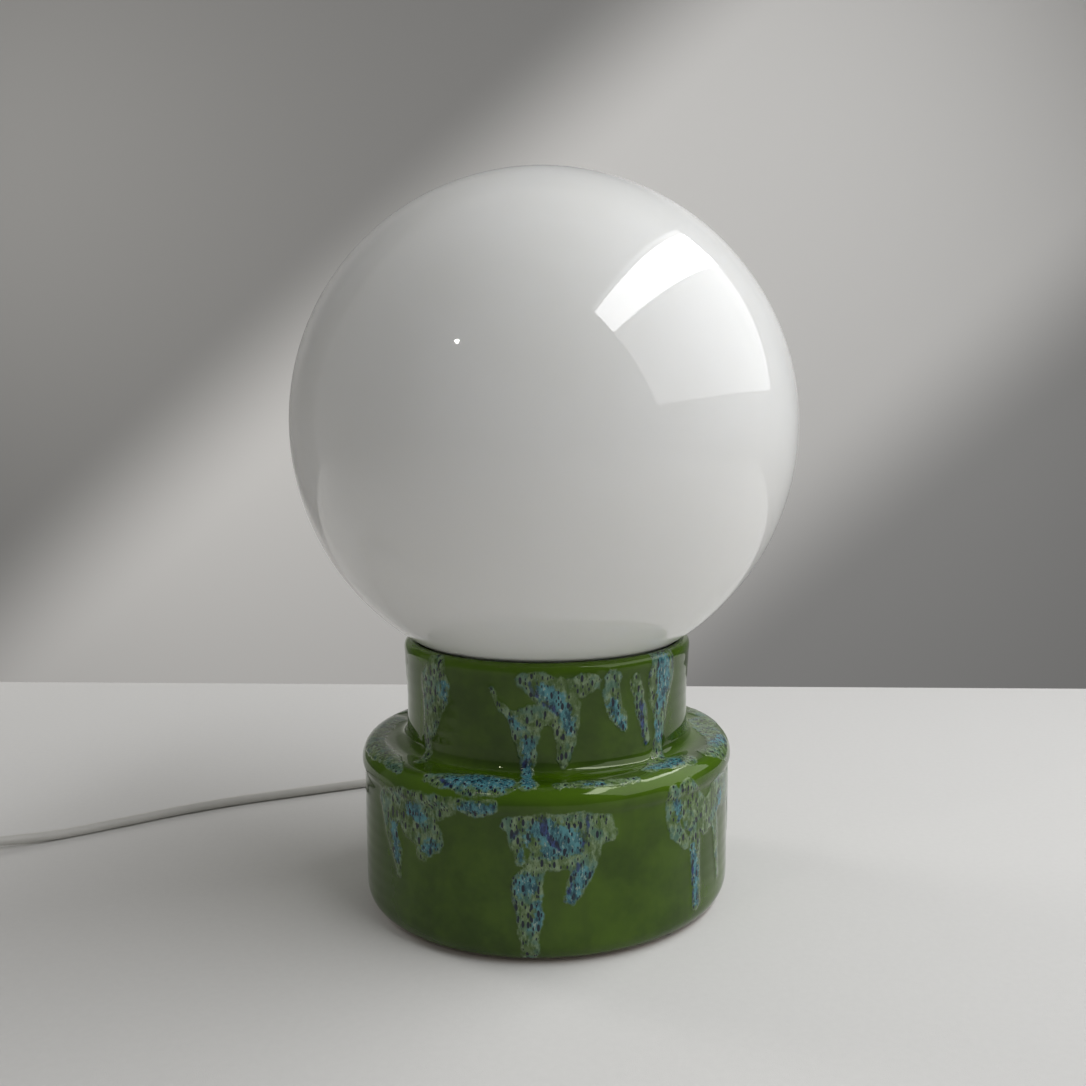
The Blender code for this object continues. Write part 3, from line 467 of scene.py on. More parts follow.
BLUES = [
    [(-38, 15, 3), (-38, 20, 3.2)], [(1, 13, 3.6), (6, 18, 5), (10, 25, 4.4), (12, 33, 3)],
    [(-9, 28, 2.8), (-7, 31, 2)], [(-4, 39, 3.6), (-4, 47, 2.6), (-2, 66, 4.6)],
    [(28.5, 22, 4), (29.5, 27, 3.6), (33, 34, 2.2)], [(53, 7, 5.5), (53, 20, 6), (52, 28, 3.5)],
    [(49, 37, 2.4), (51, 44, 2.2)], [(40, 62, 4), (50, 62, 5)], [(-26, 69, 4), (-18, 64, 7), (-9, 66, 5.5)],
    [(-21, 80, 2.6), (-12, 79, 3.6)], [(14, 67.5, 2), (19, 68, 2.4)], [(-38, 86, 4.6), (-34, 88, 4)],
    [(-46, 98, 4), (-45, 112, 3)], [(-33, 103, 3.6), (-30, 100, 3)], [(2, 88, 6), (10, 94, 7), (4, 97, 4)],
    [(-2, 91, 3), (-3.4, 101, 2.4)], [(-2, 113, 6), (-3, 114, 5)], [(13, 110, 5), (10, 120, 4)],
    [(2, 123, 4), (1, 132, 3.4)], [(50, 108, 3), (52, 122, 3.4), (52.5, 138, 2.8)],
    [(43, 84, 3), (44, 92, 2.4)],
    [(75, 66, 4), (84, 68, 3)], [(68, 92, 4), (66, 104, 3)],
]
NAVYS = [
    [(14.5, 82, 1.5), (14, 90, 1.2), (13, 98, 1)], [(2.5, 83, 2), (3, 90, 1.8), (7, 97, 1.3)],
    [(-3, 10, 1), (0, 17, 1.2)], [(3, 20, 1.2), (7, 25, 1)], [(44.5, 8, 1.8), (44.5, 12, 1.4)],
    [(41, 24, 1.6), (42, 42, 1.4), (45, 49, 1)], [(-5.5, 91, 1.4), (-4, 88, 1)],
    [(-6, 112, 0.9), (-5, 130, 0.8)],
    [(4, 121, 1), (3, 131, 0.8)], [(12, 105, 1.2), (8, 121, 1)], [(50, 112, 0.8), (50.5, 136, 0.8)],
    [(-30, 68, 1), (-24, 71, 1)], [(-5, 49, 1.2), (-3, 46, 1.4)], [(48, 108, 0.9), (49, 100, 1)],
]
pour = random.Random(11)
for centre in range(108, 262, 17):
    angle = centre + pour.uniform(-4, 4)
    reach, width = pour.uniform(24, 56), pour.uniform(4, 8)
    RUNS.append([
        (angle, pour.uniform(6, 12), width), (angle + 2, reach * 0.5, width * 0.9),
        (angle + pour.uniform(-3, 3), reach, 2.6),
    ])
    BLUES.append([(angle + 1, reach * 0.6, width * 0.6), (angle, reach * 0.9, 2.4)])
    NAVYS.append([(angle - 2, reach * 0.3, 1.1), (angle, reach * 0.5, 0.9)])
    low = pour.uniform(100, 140)
    angle += pour.uniform(3, 8)
    RUNS.append([
        (angle - 6, 84, width * 0.8), (angle, 86, width), (angle + 1, 98, width * 0.8),
        (angle + pour.uniform(-2, 2), low, 2.8),
    ])
    RUNS.append([(angle - 7, 68, width * 0.6), (angle + 1, 66, width * 0.8), (angle + 6, 70, 3)])
    BLUES.append([(angle, 94, width * 0.55), (angle + 1, low - 8, 2.4)])
    NAVYS.append([(angle - 1, 88, 1.3), (angle, 100, 1)])
print(len(RUNS), "runs,", len(BLUES), "turquoise patches,", len(NAVYS), "dark streaks")


# %% [markdown]
# ## From strokes to a field
# Each vertex gets its signed distance to the nearest stroke, in millimetres and positive inside.
# A distance can be thresholded in the material at any sharpness, so the runs keep crisp edges
# however coarse the mesh is. The mesh itself is raised a third of a millimetre under the runs.


# %% Helper: distance to strokes
def stroke_depth(angle, depth, radius, strokes):
    """How far inside the nearest stroke each point lies, in millimetres."""
    best = np.full(len(angle), -30.0)
    for stroke in strokes:
        for (a0, d0, w0), (a1, d1, w1) in zip(stroke, stroke[1:]):
            turn = np.radians((angle - a0 + 180.0) % 360.0 - 180.0) * radius
            across, drop = np.radians(a1 - a0) * radius, d1 - d0
            share = np.clip((turn * across + (depth - d0) * drop) / (across**2 + drop**2), 0, 1)
            away = np.hypot(turn - across * share, depth - d0 - drop * share)
            best = np.maximum(best, w0 + (w1 - w0) * share - away)
    return best


# %% Base mesh
bm = wire([*map(tuple, outside_line), *map(tuple, inside_line)])
base_bm = spun(bm, 400)
bmesh.ops.recalc_face_normals(base_bm, faces=base_bm.faces)
base_bm.normal_update()
place = np.array([v.co for v in base_bm.verts]) / MM
normal = np.array([v.normal for v in base_bm.verts])
radius = np.hypot(place[:, 0], place[:, 1])
angle = np.degrees(np.arctan2(place[:, 0], -place[:, 1]))
profile = np.column_stack([radius, place[:, 2]])
keys, back = np.unique(np.round(profile, 2), axis=0, return_inverse=True)
gaps = np.linalg.norm(keys[:, None, :] - outside_line[None], axis=2)
depth = down[gaps.argmin(axis=1)][back.ravel()]
shows = (gaps.min(axis=1) < 0.05)[back.ravel()]
fields = {
    name: np.where(shows, stroke_depth(angle, depth, radius, strokes), -30.0)
    for name, strokes in (("run", RUNS), ("blue", BLUES), ("navy", NAVYS))
}
RUN_RELIEF, BLUE_RELIEF, UNEVEN_WALL, THROWING_RINGS = 0.28, 0.12, 0.22, 0.035
raised = RUN_RELIEF / (1 + np.exp(-2.2 * fields["run"])) + BLUE_RELIEF / (1 + np.exp(-2.0 * fields["blue"]))
uneven = np.array([noise.noise(Vector(p) * 0.035) for p in place]) * UNEVEN_WALL
ring = np.sin(place[:, 2] * 0.9 + 0.6 * np.sin(np.radians(angle) * 2)) * THROWING_RINGS
fade = np.clip((depth - 1.0) / 6.0, 0, 1) * np.clip((down[-1] - 4.0 - depth) / 6.0, 0, 1)
moved = place + normal * (np.where(shows, (raised + uneven + ring) * fade, 0.0))[:, None]
for vert, co in zip(base_bm.verts, moved * MM):
    vert.co = co
print(f"base: {len(place)} points, relief up to {raised.max():.2f} mm")

# %% [markdown]
# ## The glaze
# The green is a clear coloured glaze over pale clay, deeper and lighter in random patches and
# long streaks. It is painted brighter in bands at the lip, at the foot of the cove and on the bead:
# these are painted highlights where the window's light catches the curves, and at the lip and the
# bead also the glaze running thin over the edge. The poured glaze is opaque and mottled, with pale
# edges, turquoise pools, and dark blue flecks drawn out downwards.

# %% Glaze material
glaze, tree, shader = new_material("poured_glaze")
where = node(tree, "ShaderNodeTexCoord").outputs["Object"]
drawn = node(tree, "ShaderNodeMapping", {"Vector": where, "Scale": (1.0, 1.0, 0.42)}).outputs[0]


def field(name):
    return node(tree, "ShaderNodeAttribute", attribute_name=name).outputs["Fac"]


def wobble(value, scale, amount, where=where, detail=4.0):
    """The value shifted by noise, so that a smooth outline becomes a natural one."""
    soft = math_node(tree, "SUBTRACT", noise_node(tree, where, scale, detail, 0.6), 0.5)
    return math_node(tree, "ADD", value, math_node(tree, "MULTIPLY", soft, amount))


run_depth = wobble(wobble(field("run"), 95.0, 5.0), 300.0, 2.6)
run_mask = step(tree, run_depth, -0.30, 0.90)
run_edge = math_node(tree, "MULTIPLY", step(tree, run_depth, 0.5, 1.6, 1.0, 0.0), run_mask)
blue_depth = wobble(wobble(field("blue"), 120.0, 5.0), 480.0, 7.0)
blue_mask = math_node(tree, "MULTIPLY", step(tree, blue_depth, -0.8, 2.0), run_mask)
navy_depth = wobble(wobble(field("navy"), 150.0, 4.0), 520.0, 5.5, drawn)
navy_mask = math_node(tree, "MULTIPLY", step(tree, navy_depth, -0.2, 0.9), run_mask)

# %% Glaze: the green ground
height = node(tree, "ShaderNodeSeparateXYZ", {"Vector": where}).outputs["Z"]
pool = noise_node(tree, where, 28.0, 5.0, 0.62)
long_drawn = node(tree, "ShaderNodeMapping", {"Vector": where, "Scale": (1, 1, 0.12)}).outputs[0]
streak = noise_node(tree, long_drawn, 110.0, 4.0)
highlight_and_break_mask = step(tree, field("edge"), 0.0, 1.0)
green = mix(tree, step(tree, pool, 0.30, 0.72), (0.020, 0.050, 0.001), (0.050, 0.104, 0.003))
streak = math_node(tree, "MULTIPLY", step(tree, streak, 0.45, 0.75), 0.45)
green = mix(tree, streak, green, (0.026, 0.054, 0.003))
# Painted highlight: the green is made brighter in the bands at the lip, the foot of the cove and the bead,
# where the window lights them; at the lip and the bead it also stands for glaze thinning over the edge.
green = mix(tree, math_node(tree, "MULTIPLY", highlight_and_break_mask, 0.6), green, (0.078, 0.165, 0.003))

# %% Glaze: the poured one
mottle = noise_node(tree, drawn, 430.0, 6.0, 0.70)
cloud = noise_node(tree, where, 120.0, 4.0, 0.6)
pale = mix(tree, step(tree, mottle, 0.38, 0.63), (0.046, 0.095, 0.030), (0.26, 0.345, 0.215))
pale = mix(tree, math_node(tree, "MULTIPLY", step(tree, cloud, 0.47, 0.62), 0.7), pale, (0.050, 0.135, 0.115))
turquoise = mix(tree, step(tree, mottle, 0.36, 0.62), (0.008, 0.050, 0.082), (0.080, 0.250, 0.285))
threads = step(tree, noise_node(tree, drawn, 820.0, 4.0, 0.6), 0.575, 0.65)
turquoise = mix(tree, math_node(tree, "MULTIPLY", threads, 0.85), turquoise, (0.30, 0.38, 0.33))
poured = mix(tree, blue_mask, pale, turquoise)
poured = mix(tree, math_node(tree, "MULTIPLY", run_edge, 0.12), poured, (0.26, 0.34, 0.22))
dark = mix(tree, step(tree, mottle, 0.42, 0.60), (0.004, 0.008, 0.035), (0.030, 0.055, 0.19))
poured = mix(tree, navy_mask, poured, dark)

# %% Glaze: flecks, and the sum of it
def flecks(scale, size, share):
    """Drawn-out dark flecks: cells of a Voronoi pattern, some of them filled near their middle."""
    cells = node(tree, "ShaderNodeTexVoronoi", {"Vector": drawn, "Scale": scale, "Randomness": 1.0})
    odds = node(tree, "ShaderNodeSeparateColor", {"Color": cells.outputs["Color"]}).outputs[0]
    near = step(tree, cells.outputs["Distance"], size * 0.75, size, 1.0, 0.0)
    return math_node(tree, "MULTIPLY", near, step(tree, odds, 1.0 - share, 1.02 - share))


marks = math_node(tree, "MAXIMUM", flecks(430.0, 0.36, 0.55), flecks(820.0, 0.38, 0.50))
marks = math_node(tree, "MULTIPLY", marks, step(tree, run_depth, 0.1, 1.0))
poured = mix(tree, marks, poured, (0.004, 0.007, 0.028))
opaque = step(tree, wobble(cloud, 420.0, 0.30), 0.34, 0.60, 0.30, 0.95)
opaque = math_node(tree, "MAXIMUM", opaque, math_node(tree, "MAXIMUM", marks, blue_mask))
colour = mix(tree, math_node(tree, "MULTIPLY", run_mask, opaque), green, poured)
clay = mix(tree, step(tree, noise_node(tree, where, 500.0), 0.3, 0.7), (0.42, 0.33, 0.24), (0.55, 0.46, 0.36))
bare = step(tree, height, 0.0024, 0.0030, 1.0, 0.0)
colour = mix(tree, bare, colour, clay)
tree.links.new(colour, shader.inputs["Base Color"])
gloss = math_node(tree, "ADD", 0.055, math_node(tree, "MULTIPLY", run_mask, 0.06))
gloss = math_node(tree, "MAXIMUM", gloss, math_node(tree, "MULTIPLY", bare, 0.8))
tree.links.new(gloss, shader.inputs["Roughness"])
peel = math_node(tree, "MULTIPLY", noise_node(tree, where, 190.0, 2.0), 0.05)
relief = math_node(tree, "ADD", math_node(tree, "MULTIPLY", run_mask, 0.22), peel)
crust = math_node(tree, "MULTIPLY", math_node(tree, "MULTIPLY", mottle, run_mask), 0.10)
bump(tree, shader, math_node(tree, "ADD", relief, crust), 0.8, 1.0)
shader.inputs["IOR"].default_value = 1.46
shader.inputs["Specular Tint"].default_value = (0.92, 1.0, 0.72, 1.0)

# %% Base piece
# Bands down the outside where the green is painted brighter: the lip, the foot of the cove and the bead. They
# are painted highlights, and at the lip and the bead also the glaze thinning over the edge.
HIGHLIGHT_AND_BREAK_BANDS = [(3.0, 4.0, 1.0), (72.0, 5.5, 0.75), (56.0, 5.0, 0.45)]  # depth, breadth, strength
edge = sum(strength * np.exp(-(((depth - at) / breadth) ** 2)) for at, breadth, strength in HIGHLIGHT_AND_BREAK_BANDS)
edge = np.where(shows, np.clip(edge, 0, 1), 0.0)
glazed_base = finished("glazed_base", base_bm, glaze, "base", ["ceramic_base"], smooth=60)
for name, values in {**fields, "edge": edge}.items():
    made = glazed_base.data.attributes.new(name, "FLOAT", "POINT")
    made.data.foreach_set("value", values.astype(np.float32))

# %% [markdown]
# ## The opal globe
# Opal lighting glass is milky all through and smooth on both sides. Light enters it, spreads and
# comes out softened, so it needs subsurface scattering under a clear gloss. Its neck ends in a
# bead that sits in the collar. Its lower part is painted whiter and warmer: a painted glow of
# the light bounced up from the table.

# %% Globe
opal, tree, shader = new_material("opal_glass")
where = node(tree, "ShaderNodeTexCoord").outputs["Object"]
cloudy = noise_node(tree, where, 9.0, 3.0)
colour = mix(tree, step(tree, cloudy, 0.3, 0.7), (0.80, 0.80, 0.765), (0.86, 0.865, 0.845))
up = node(tree, "ShaderNodeSeparateXYZ", {"Vector": where}).outputs["Z"]
# Painted light: towards the bottom the globe is painted whiter and warmer, fading out by 0.30 m above the
# table. This stands in for the glow of light bounced up from the table.
colour = mix(tree, step(tree, up, 0.14, 0.30, 1.0, 0.0), colour, (0.98, 0.965, 0.92))
tree.links.new(colour, shader.inputs["Base Color"])
marks = step(tree, noise_node(tree, where, 45.0, 6.0, 0.7), 0.35, 0.75, 0.02, 0.05)
tree.links.new(marks, shader.inputs["Roughness"])
bump(tree, shader, noise_node(tree, where, 14.0, 1.0), 0.25, 0.5)
shader.inputs["Subsurface Weight"].default_value = 0.35
shader.inputs["Subsurface Radius"].default_value = (1.0, 0.95, 0.85)
shader.inputs["Subsurface Scale"].default_value = 0.012
shader.inputs["IOR"].default_value = 1.52
globe_low, globe_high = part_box("glass_globe")
centre_z = globe_high.z / MM - 125.0
drop = math.sqrt(131.0**2 - 56.0**2)
turn = math.degrees(math.atan2(drop, 56.0))
rim = globe_low.z / MM
outer = arc(0, centre_z, 125.0, 90, -turn, 96) + arc(56, centre_z - drop, 6, 180 - turn, 180, 6)[1:]
bead = [(50.0, rim + 4.4), (50.9, rim + 3.2), (51.3, rim + 2.0), (51.2, rim + 0.9), (50.4, rim + 0.2),
        (49.2, rim), (48.0, rim + 0.3), (47.3, rim + 0.9)]
inner = arc(56, centre_z - drop, 9, 180, 180 - turn, 6) + arc(0, centre_z, 122.0, -turn, 90, 72)[1:]
bm = spun(wire([(max(0.0, r), z) for r, z in outer + bead + inner], closed=False), 160)
finished("opal_globe", bm, opal, "globe", ["glass_globe"], smooth=60)

# %% [markdown]
# ## Felt pads
# Four discs of pressed felt keep the bare foot off the table. Felt has no weave: short fibres lie
# every way, so its edge is soft and a little uneven, and its colour is mixed fibre by fibre.

# %% Felt
felt, tree, shader = new_material("pressed_felt")
where = node(tree, "ShaderNodeTexCoord").outputs["Object"]
fibres = noise_node(tree, where, 1400.0, 7.0, 0.75)
tone = mix(tree, step(tree, fibres, 0.35, 0.68), (0.012, 0.012, 0.013), (0.070, 0.067, 0.062))
tree.links.new(tone, shader.inputs["Base Color"])
tree.links.new(step(tree, fibres, 0.2, 0.8, 0.98, 0.86), shader.inputs["Roughness"])
bump(tree, shader, fibres, 0.8, 0.25)
shader.inputs["Sheen Weight"].default_value = 0.3

for number in range(1, 5):
    low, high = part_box(f"foot_pad_{number}")
    reach, under, over = (high.x - low.x) / 2 / MM, low.z / MM, high.z / MM
    line = arc(reach - 0.55, under + 0.55, 0.55, -90, 0, 4) + arc(reach - 0.55, over - 0.55, 0.55, 0, 90, 4)
    line = [(0, under), (reach * 0.5, under), *line, (reach * 0.5, over), (0, over)]
    bm = spun(wire(line, closed=False), 72)
    for vert in bm.verts:
        spread = Vector((vert.co.x, vert.co.y, 0))
        if spread.length > (reach - 0.7) * MM:
            uneven = noise.noise(vert.co * 900 + Vector((number, 0, 0)))
            vert.co -= spread.normalized() * (0.5 + uneven) * 0.10 * MM
    middle = (low + high) / 2
    pad = finished(
        f"felt_pad_{number}", bm, felt, "base", [f"foot_pad_{number}"],
        place=Matrix.Translation((middle.x, middle.y, 0)),
    )

# %% [markdown]
# ## The cord tie
# A hook-and-loop strap holds the coil. It is one flat ribbon that passes under and over the turns
# and laps over its own start. The ribbon's edge is drawn as a line in the XZ plane and extruded
# sideways, and Solidify gives it its thickness.

# %% Cord tie
TIE_TURN = math.radians(25.0)
TURNS_MIDDLE = 31.25  # from the coil's centre to the middle of its turns
woven, tree, shader = new_material("woven_strap")
where = node(tree, "ShaderNodeTexCoord").outputs["Object"]
turned_back = node(tree, "ShaderNodeMapping", {"Vector": where, "Rotation": (0.0, 0.0, -TIE_TURN)}).outputs[0]
split = node(tree, "ShaderNodeSeparateXYZ", {"Vector": turned_back})
along = math_node(tree, "ADD", split.outputs["X"], split.outputs["Z"])
warp = math_node(tree, "SINE", math_node(tree, "MULTIPLY", along, math.tau / (1.1 * MM)))
weft = math_node(tree, "SINE", math_node(tree, "MULTIPLY", split.outputs["Y"], math.tau / (0.9 * MM)))
weave = math_node(tree, "MULTIPLY_ADD", math_node(tree, "MULTIPLY", warp, weft), 0.5)
weave.node.inputs[2].default_value = 0.5
fluff = noise_node(tree, where, 1600.0, 5.0, 0.7)
tone = mix(tree, weave, (0.012, 0.012, 0.014), (0.060, 0.060, 0.064))
tone = mix(tree, math_node(tree, "MULTIPLY", fluff, 0.4), tone, (0.09, 0.09, 0.09))
tree.links.new(tone, shader.inputs["Base Color"])
tree.links.new(step(tree, fluff, 0.2, 0.8, 0.65, 0.85), shader.inputs["Roughness"])
rise = math_node(tree, "ADD", weave, math_node(tree, "MULTIPLY", fluff, 0.5))
bump(tree, shader, rise, 0.8, 0.2)

ribbon = [(-8.5, 13.5), (0.0, 13.5), *arc(9.7, 10.3, 3.2, 90, 0, 6), *arc(9.7, 3.8, 3.2, 0, -90, 6)]
ribbon += [(0.0, 0.6), *arc(-9.7, 3.8, 3.2, -90, -180, 6), *arc(-9.7, 11.4, 3.2, 180, 90, 6)]
ribbon += [(0.0, 14.6), (6.0, 14.75)]
bm = wire(ribbon, closed=False)
bmesh.ops.translate(bm, verts=bm.verts, vec=(0, -3.9 * MM, 0))
edges = bm.edges[:]
for _ in range(6):
    grown = bmesh.ops.extrude_edge_only(bm, edges=edges)["geom"]
    new_verts = [g for g in grown if isinstance(g, bmesh.types.BMVert)]
    bmesh.ops.translate(bm, verts=new_verts, vec=(0, 1.3 * MM, 0))
    new_edges = [g for g in grown if isinstance(g, bmesh.types.BMEdge)]
    edges = [e for e in new_edges if abs(e.verts[0].co.y - e.verts[1].co.y) < 1e-7]
bmesh.ops.recalc_face_normals(bm, faces=bm.faces)
bmesh.ops.translate(bm, verts=bm.verts, vec=(TURNS_MIDDLE * MM, 0, 0))
tie = finished(
    "strap_tie", bm, woven, "base", ["cord_tie"], recalc=False,
    place=Matrix.Translation((COIL_PLACE[0] * MM, COIL_PLACE[1] * MM, 0)) @ Matrix.Rotation(TIE_TURN, 4, "Z"),
)
thick = tie.modifiers.new("thickness", "SOLIDIFY")
thick.thickness, thick.offset, thick.use_even_offset = 0.95 * MM, 0.0, True
soft = tie.modifiers.new("soft_edges", "BEVEL")
soft.width, soft.segments, soft.limit_method = 0.25 * MM, 2, "ANGLE"

# %% [markdown]
# ## Where the cord leaves
# The bushing is a soft moulding: a flange on each side of the wall, then a tail that tapers over
# 25 mm, cut into rings so that it bends before the cord does. The plug has a shorter tail of the
# same kind. Both are spun, then turned to lie along the cord.

# %% Bushing and boot
def ringed_tail(start, end, wide, slim, rings):
    """A tapering tail with grooves, as (r, distance) points."""
    pitch, line = (end - start) / rings, []
    for i in range(rings):
        at = start + i * pitch
        reach = wide + (slim - wide) * (i + 0.3) / rings
        line += [(reach, at + 0.12 * pitch), (reach + 0.1, at + 0.3 * pitch), (reach, at + 0.55 * pitch)]
        line += [(reach - 0.75, at + 0.68 * pitch), (reach - 0.75, at + 0.9 * pitch)]
    return line


CORD_BORE = CORD_RADIUS + 0.1
flanges = [
    (CORD_BORE, 82.9), (8.2, 82.9), (8.6, 83.3), (8.6, 84.7), (8.2, 85.1), (5.9, 85.1), (5.9, 93.4),
    (7.7, 93.4), (8.0, 93.7), (8.0, 94.3), (7.5, 94.9), (6.4, 95.6), (5.5, 96.6),
]
tail = [*ringed_tail(96.8, 118.6, 5.3, 4.3, 7), (4.0, 119.2), (3.6, 120.0), (CORD_BORE, 120.0)]
along_y = Matrix.Translation((0, 0, CORD_EXIT[2] * MM)) @ Matrix.Rotation(math.radians(-90), 4, "X")
bm = spun(wire(flanges + tail), 64)
finished(
    "ringed_bushing", bm, looks["cord_vinyl"], "base", ["cord_bushing"], along_y,
)

PLUG_PLACE = (-298.0 * MM, -103.5 * MM, 7.1 * MM)
along_x = Matrix.Translation(PLUG_PLACE) @ Matrix.Rotation(math.radians(90), 4, "Y")
boot = [(CORD_BORE, -34.0), (3.6, -34.0), *ringed_tail(-33.6, -19.4, 4.2, 5.7, 5)]
boot += [(5.8, -18.6), (CORD_BORE, -18.3)]
bm = spun(wire(boot), 48)
finished("ringed_boot", bm, looks["plug_plastic"], "base", ["plug_boot"], along_x)

# %% [markdown]
# ## Plug and switch shells
# Both are moulded in thermoplastic, so every edge has a generous radius. The plug starts as one
# flat face with the plug's outline, and the switch as a cube: both are extruded and bevelled. The
# rocker's window is cut by four planes and pushed down.


# %% Helpers: the upright edges of a mesh, and a bevel with its width in millimetres
def upright_edges(bm):
    return [e for e in bm.edges if abs(e.verts[0].co.z - e.verts[1].co.z) > 1e-5]


def bevelled(bm, edges, width, segments):
    bmesh.ops.bevel(
        bm, geom=edges, offset=width * MM, offset_type="OFFSET", segments=segments, profile=0.5,
        affect="EDGES", material=-1, clamp_overlap=True,
    )


# %% Plug body
shape = [(-18.0, 6.4), (-11.0, 9.0), (-1.0, 17.0), (16.5, 17.6), (18.0, 16.4)]
shape += [(x, -y) for x, y in reversed(shape)]
bm = bmesh.new()
bm.faces.new([bm.verts.new((x * MM, y * MM, -6.85 * MM)) for x, y in shape])
lifted = bmesh.ops.extrude_face_region(bm, geom=bm.faces[:])["geom"]
bmesh.ops.translate(bm, verts=[g for g in lifted if isinstance(g, bmesh.types.BMVert)], vec=(0, 0, 13.7 * MM))
bevelled(bm, upright_edges(bm), 1.0, 4)
rims = [e for e in bm.edges if len({round(v.co.z, 5) for v in e.verts}) == 1]
bevelled(bm, rims, 2.3, 5)
finished(
    "plug_shell", bm, looks["plug_plastic"], "base", ["plug_body"],
    Matrix.Translation(PLUG_PLACE), smooth=50,
)

# %% Switch shells
SWITCH_PLACE = (-354.0 * MM, 10.0 * MM, 0.0)
switch_turn = Matrix.Translation(SWITCH_PLACE) @ Matrix.Rotation(math.radians(210.0), 4, "Z")


def switch_shell(low, high, lip, top):
    bm = bmesh.new()
    bmesh.ops.create_cube(bm, size=1.0)
    bmesh.ops.scale(bm, verts=bm.verts, vec=(66.0 * MM, 27.0 * MM, (high - low) * MM))
    bmesh.ops.translate(bm, verts=bm.verts, vec=(0, 0, (low + high) / 2 * MM))
    bevelled(bm, upright_edges(bm), 9.0, 10)
    for level, width in ((high, top), (low, lip)):
        rim = [e for e in bm.edges if all(abs(v.co.z - level * MM) < 1e-6 for v in e.verts)]
        bevelled(bm, rim, width, 5)
    return bm


bm = switch_shell(6.3, 15.5, 0.35, 2.4)
for axis, half in ((0, 9.2), (1, 5.3)):
    for side in (-1, 1):
        plane = [0.0, 0.0, 0.0]
        plane[axis] = side
        centre = tuple(c * half * MM for c in plane)
        everything = bm.verts[:] + bm.edges[:] + bm.faces[:]
        bmesh.ops.bisect_plane(bm, geom=everything, plane_co=centre, plane_no=plane)
window = [
    f for f in bm.faces
    if f.normal.z > 0.9 and f.calc_center_median().length < 18 * MM
    and abs(f.calc_center_median().x) < 1 * MM and abs(f.calc_center_median().y) < 1 * MM
]
sunk = bmesh.ops.extrude_discrete_faces(bm, faces=window)["faces"]
bmesh.ops.translate(bm, verts=list({v for f in sunk for v in f.verts}), vec=(0, 0, -7.2 * MM))
finished(
    "switch_top_shell", bm, looks["switch_plastic"], "base", ["switch_cover"],
    switch_turn, smooth=35,
)
bm = switch_shell(0.2, 6.0, 2.0, 0.35)
finished(
    "switch_under_shell", bm, looks["switch_plastic"], "base", ["switch_base"],
    switch_turn, smooth=35,
)
print("window faces sunk:", len(sunk))

# %% [markdown]
# ## The bulb and its holder
# The bulb's glass is blown in one go from neck to crown, so its line is one curve: a flare into a
# ball. It is clear and thin, with a wall of a millimetre. The phenolic holder is moulded, with
# small radii at every corner.


# %% Bulb glass and stem
def bulb_line(inset):
    """The glass from the neck to the crown, moved inwards."""
    start, ball = Vector((12.6 - inset, 152.0)), 30.0 - inset
    join = math.radians(-35)
    end = Vector((ball * math.cos(join), 202.0 + ball * math.sin(join)))
    pulls = (start, start + Vector((0, 13.0)), end - 14.0 * Vector((-math.sin(join), math.cos(join))), end)
    flare = []
    for i in range(16):
        t = i / 16
        shares = ((1 - t) ** 3, 3 * t * (1 - t) ** 2, 3 * t**2 * (1 - t), t**3)
        flare.append(tuple(sum((p * share for p, share in zip(pulls, shares)), Vector((0, 0)))))
    return flare + arc(0, 202.0, ball, -35, 90, 40)


clear = plain_finish(
    "clear_glass", (0.97, 0.98, 0.98), 0.03, 0.01, 0.02, 60, 400, 0.005, Transmission_Weight=1.0, IOR=1.5,
)
line = [*reversed(bulb_line(0.0)), (10.8, 151.0), (10.8, 139.0), (9.8, 139.0), (9.8, 150.8), *bulb_line(1.0)]
line = [(max(0.0, r), z) for r, z in line]
bm = spun(wire(line, closed=False), 96)
finished("blown_bulb", bm, clear, "bulb", ["bulb_glass"], smooth=60)
stem = [(9.3, 139.1), (9.4, 140.2), (7.0, 143.4), (5.0, 146.6), (3.5, 152.0), (2.6, 160.0), (2.6, 166.0),
        (3.2, 168.4), (2.4, 170.2), (1.0, 170.8)]
line = [(0.0, 139.0), *map(tuple, smooth_line(stem, 0.8)), (0.0, 170.9)]
bm = spun(wire(line, closed=False), 40)
finished("pressed_stem", bm, clear, "bulb", ["bulb_stem"], smooth=60)

# %% Holder shells
cap = [
    (5.35, 92.0), (8.2, 92.0), (8.2, 99.0), (12.0, 102.4), (17.2, 105.8), (19.3, 109.6),
    (19.6, 117.7), (17.4, 117.7), (17.2, 110.4), (15.4, 107.6), (10.6, 104.5), (5.35, 104.5),
]
shell = [
    (17.3, 118.0), (19.8, 118.0), (19.8, 148.3), (18.9, 149.4), (15.6, 149.4), (14.9, 148.8),
    (14.9, 147.8), (17.3, 147.8),
]
for name, line, stands_for in (("moulded_cap", cap, "holder_cap"), ("moulded_shell", shell, "holder_shell")):
    bm = spun(rounded(wire(line), 0.4), 96)
    finished(name, bm, looks["bakelite"], "base", [stands_for])

# %% [markdown]
# ## Room, table and light
# A pale table ends a little behind the lamp, with a wall further back on which a diagonal band of
# daylight and the shade beside it are painted. Daylight comes from a large window on the right,
# whose upper part is brighter sky: that band draws the crisp lines on the glaze. A small lamp stands
# at the front left, and a soft wash lights the wall.


# %% Helper: a flat panel for the room
def panel(name, size_x, size_y, place, look):
    bm = bmesh.new()
    bmesh.ops.create_grid(bm, x_segments=1, y_segments=1, size=0.5)
    bmesh.ops.scale(bm, verts=bm.verts, vec=(size_x, size_y, 1))
    bmesh.ops.transform(bm, matrix=place, verts=bm.verts)
    mesh = bpy.data.meshes.new(name)
    bm.to_mesh(mesh)
    bm.free()
    mesh.materials.append(look)
    made = bpy.data.objects.new(name, mesh)
    bpy.context.scene.collection.objects.link(made)
    made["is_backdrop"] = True
    return made


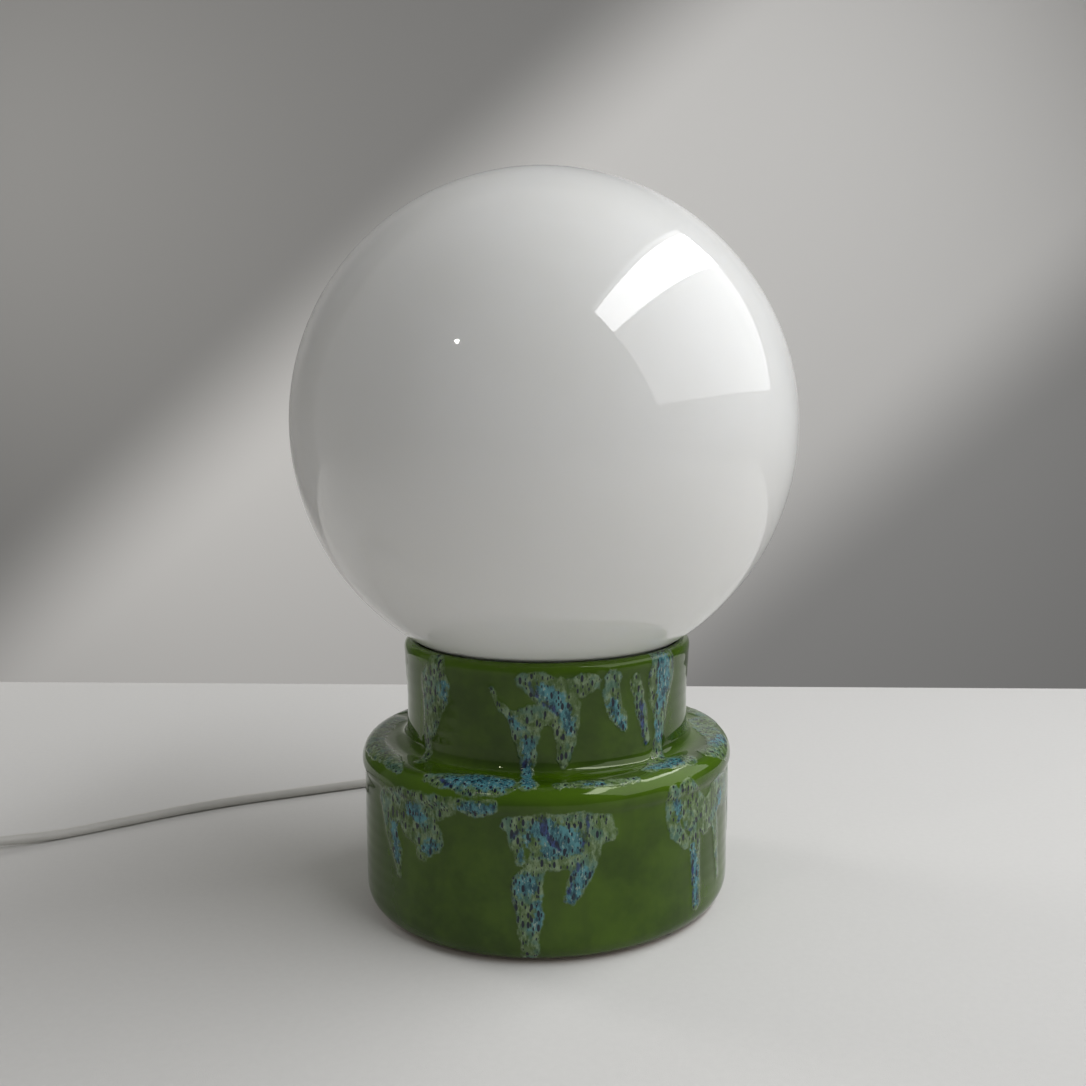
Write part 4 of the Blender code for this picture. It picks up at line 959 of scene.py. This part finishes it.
# %% Table and wall
table_look = plain_finish("table_cloth", (0.66, 0.655, 0.64), 0.85, 0.03, 0.05, 300, 2500, 0.15)
wall_look, tree, shader = new_material("wall_with_painted_daylight")
where = node(tree, "ShaderNodeTexCoord").outputs["Object"]
split = node(tree, "ShaderNodeSeparateXYZ", {"Vector": where})
across = math_node(tree, "MULTIPLY", split.outputs["X"], 0.667)
across = math_node(tree, "ADD", across, math_node(tree, "MULTIPLY", split.outputs["Z"], -0.745))
# Painted light: a bright diagonal band of daylight crosses the wall, with darker painted shade in the upper
# left and lighter painted shade in the lower right.
tone = mix(tree, step(tree, across, -0.85, -0.55), (0.28, 0.277, 0.27), (0.80, 0.79, 0.77))
tone = mix(tree, step(tree, across, 0.12, 0.42), tone, (0.42, 0.417, 0.41))
tree.links.new(tone, shader.inputs["Base Color"])
shader.inputs["Roughness"].default_value = 0.9
panel("table", 4.0, 2.42, Matrix.Translation((0, -0.79, 0)), table_look)
upright = Matrix.Translation((0, 1.7, 0.6)) @ Matrix.Rotation(math.radians(90), 4, "X")
panel("wall", 8.0, 5.0, upright, wall_look)


# %% Lights
def soft_light(name, place, aim, size_x, size_y, power, colour=(1, 1, 1)):
    data = bpy.data.lights.new(name, "AREA")
    data.shape, data.size, data.size_y = "RECTANGLE", size_x, size_y
    data.energy, data.color = power, colour
    made = bpy.data.objects.new(name, data)
    bpy.context.scene.collection.objects.link(made)
    made.location = place
    made.rotation_euler = (Vector(place) - Vector(aim)).to_track_quat("Z", "Y").to_euler()
    return made


WINDOW_PLACE, LAMP_MIDDLE, DAYLIGHT = (1.03, -0.13, 1.0), (0, 0, 0.2), (0.985, 0.99, 1.0)
soft_light("window", WINDOW_PLACE, LAMP_MIDDLE, 1.9, 1.25, 12.0, DAYLIGHT)
sky = soft_light("sky", WINDOW_PLACE, LAMP_MIDDLE, 1.9, 0.3, 12.0, DAYLIGHT)
sky.location += sky.rotation_euler.to_matrix() @ Vector((0, 0.42, -0.01))
wash = soft_light("wall_wash", (-1.45, 0.75, 0.85), (-0.15, 1.55, 0.15), 0.7, 0.7, 9.5, (1.0, 0.985, 0.96))
wash.visible_glossy = False
soft_light("small_lamp", (-0.72, -0.95, 0.98), LAMP_MIDDLE, 0.03, 0.03, 0.6, (1.0, 0.95, 0.88))
world = bpy.data.worlds.new("room")
bpy.context.scene.world = world
world.use_nodes = True
world.node_tree.nodes["Background"].inputs[0].default_value = (0.72, 0.71, 0.70, 1)
world.node_tree.nodes["Background"].inputs[1].default_value = 0.25
bpy.context.scene.view_settings.view_transform = "Standard"

# %% [markdown]
# The lamp's size, without the table and the wall, is printed. The visual model has to stay in
# the CAD model's box.

# %% Finish
low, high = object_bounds()
print("size:", [round(h - l, 4) for l, h in zip(low, high)])
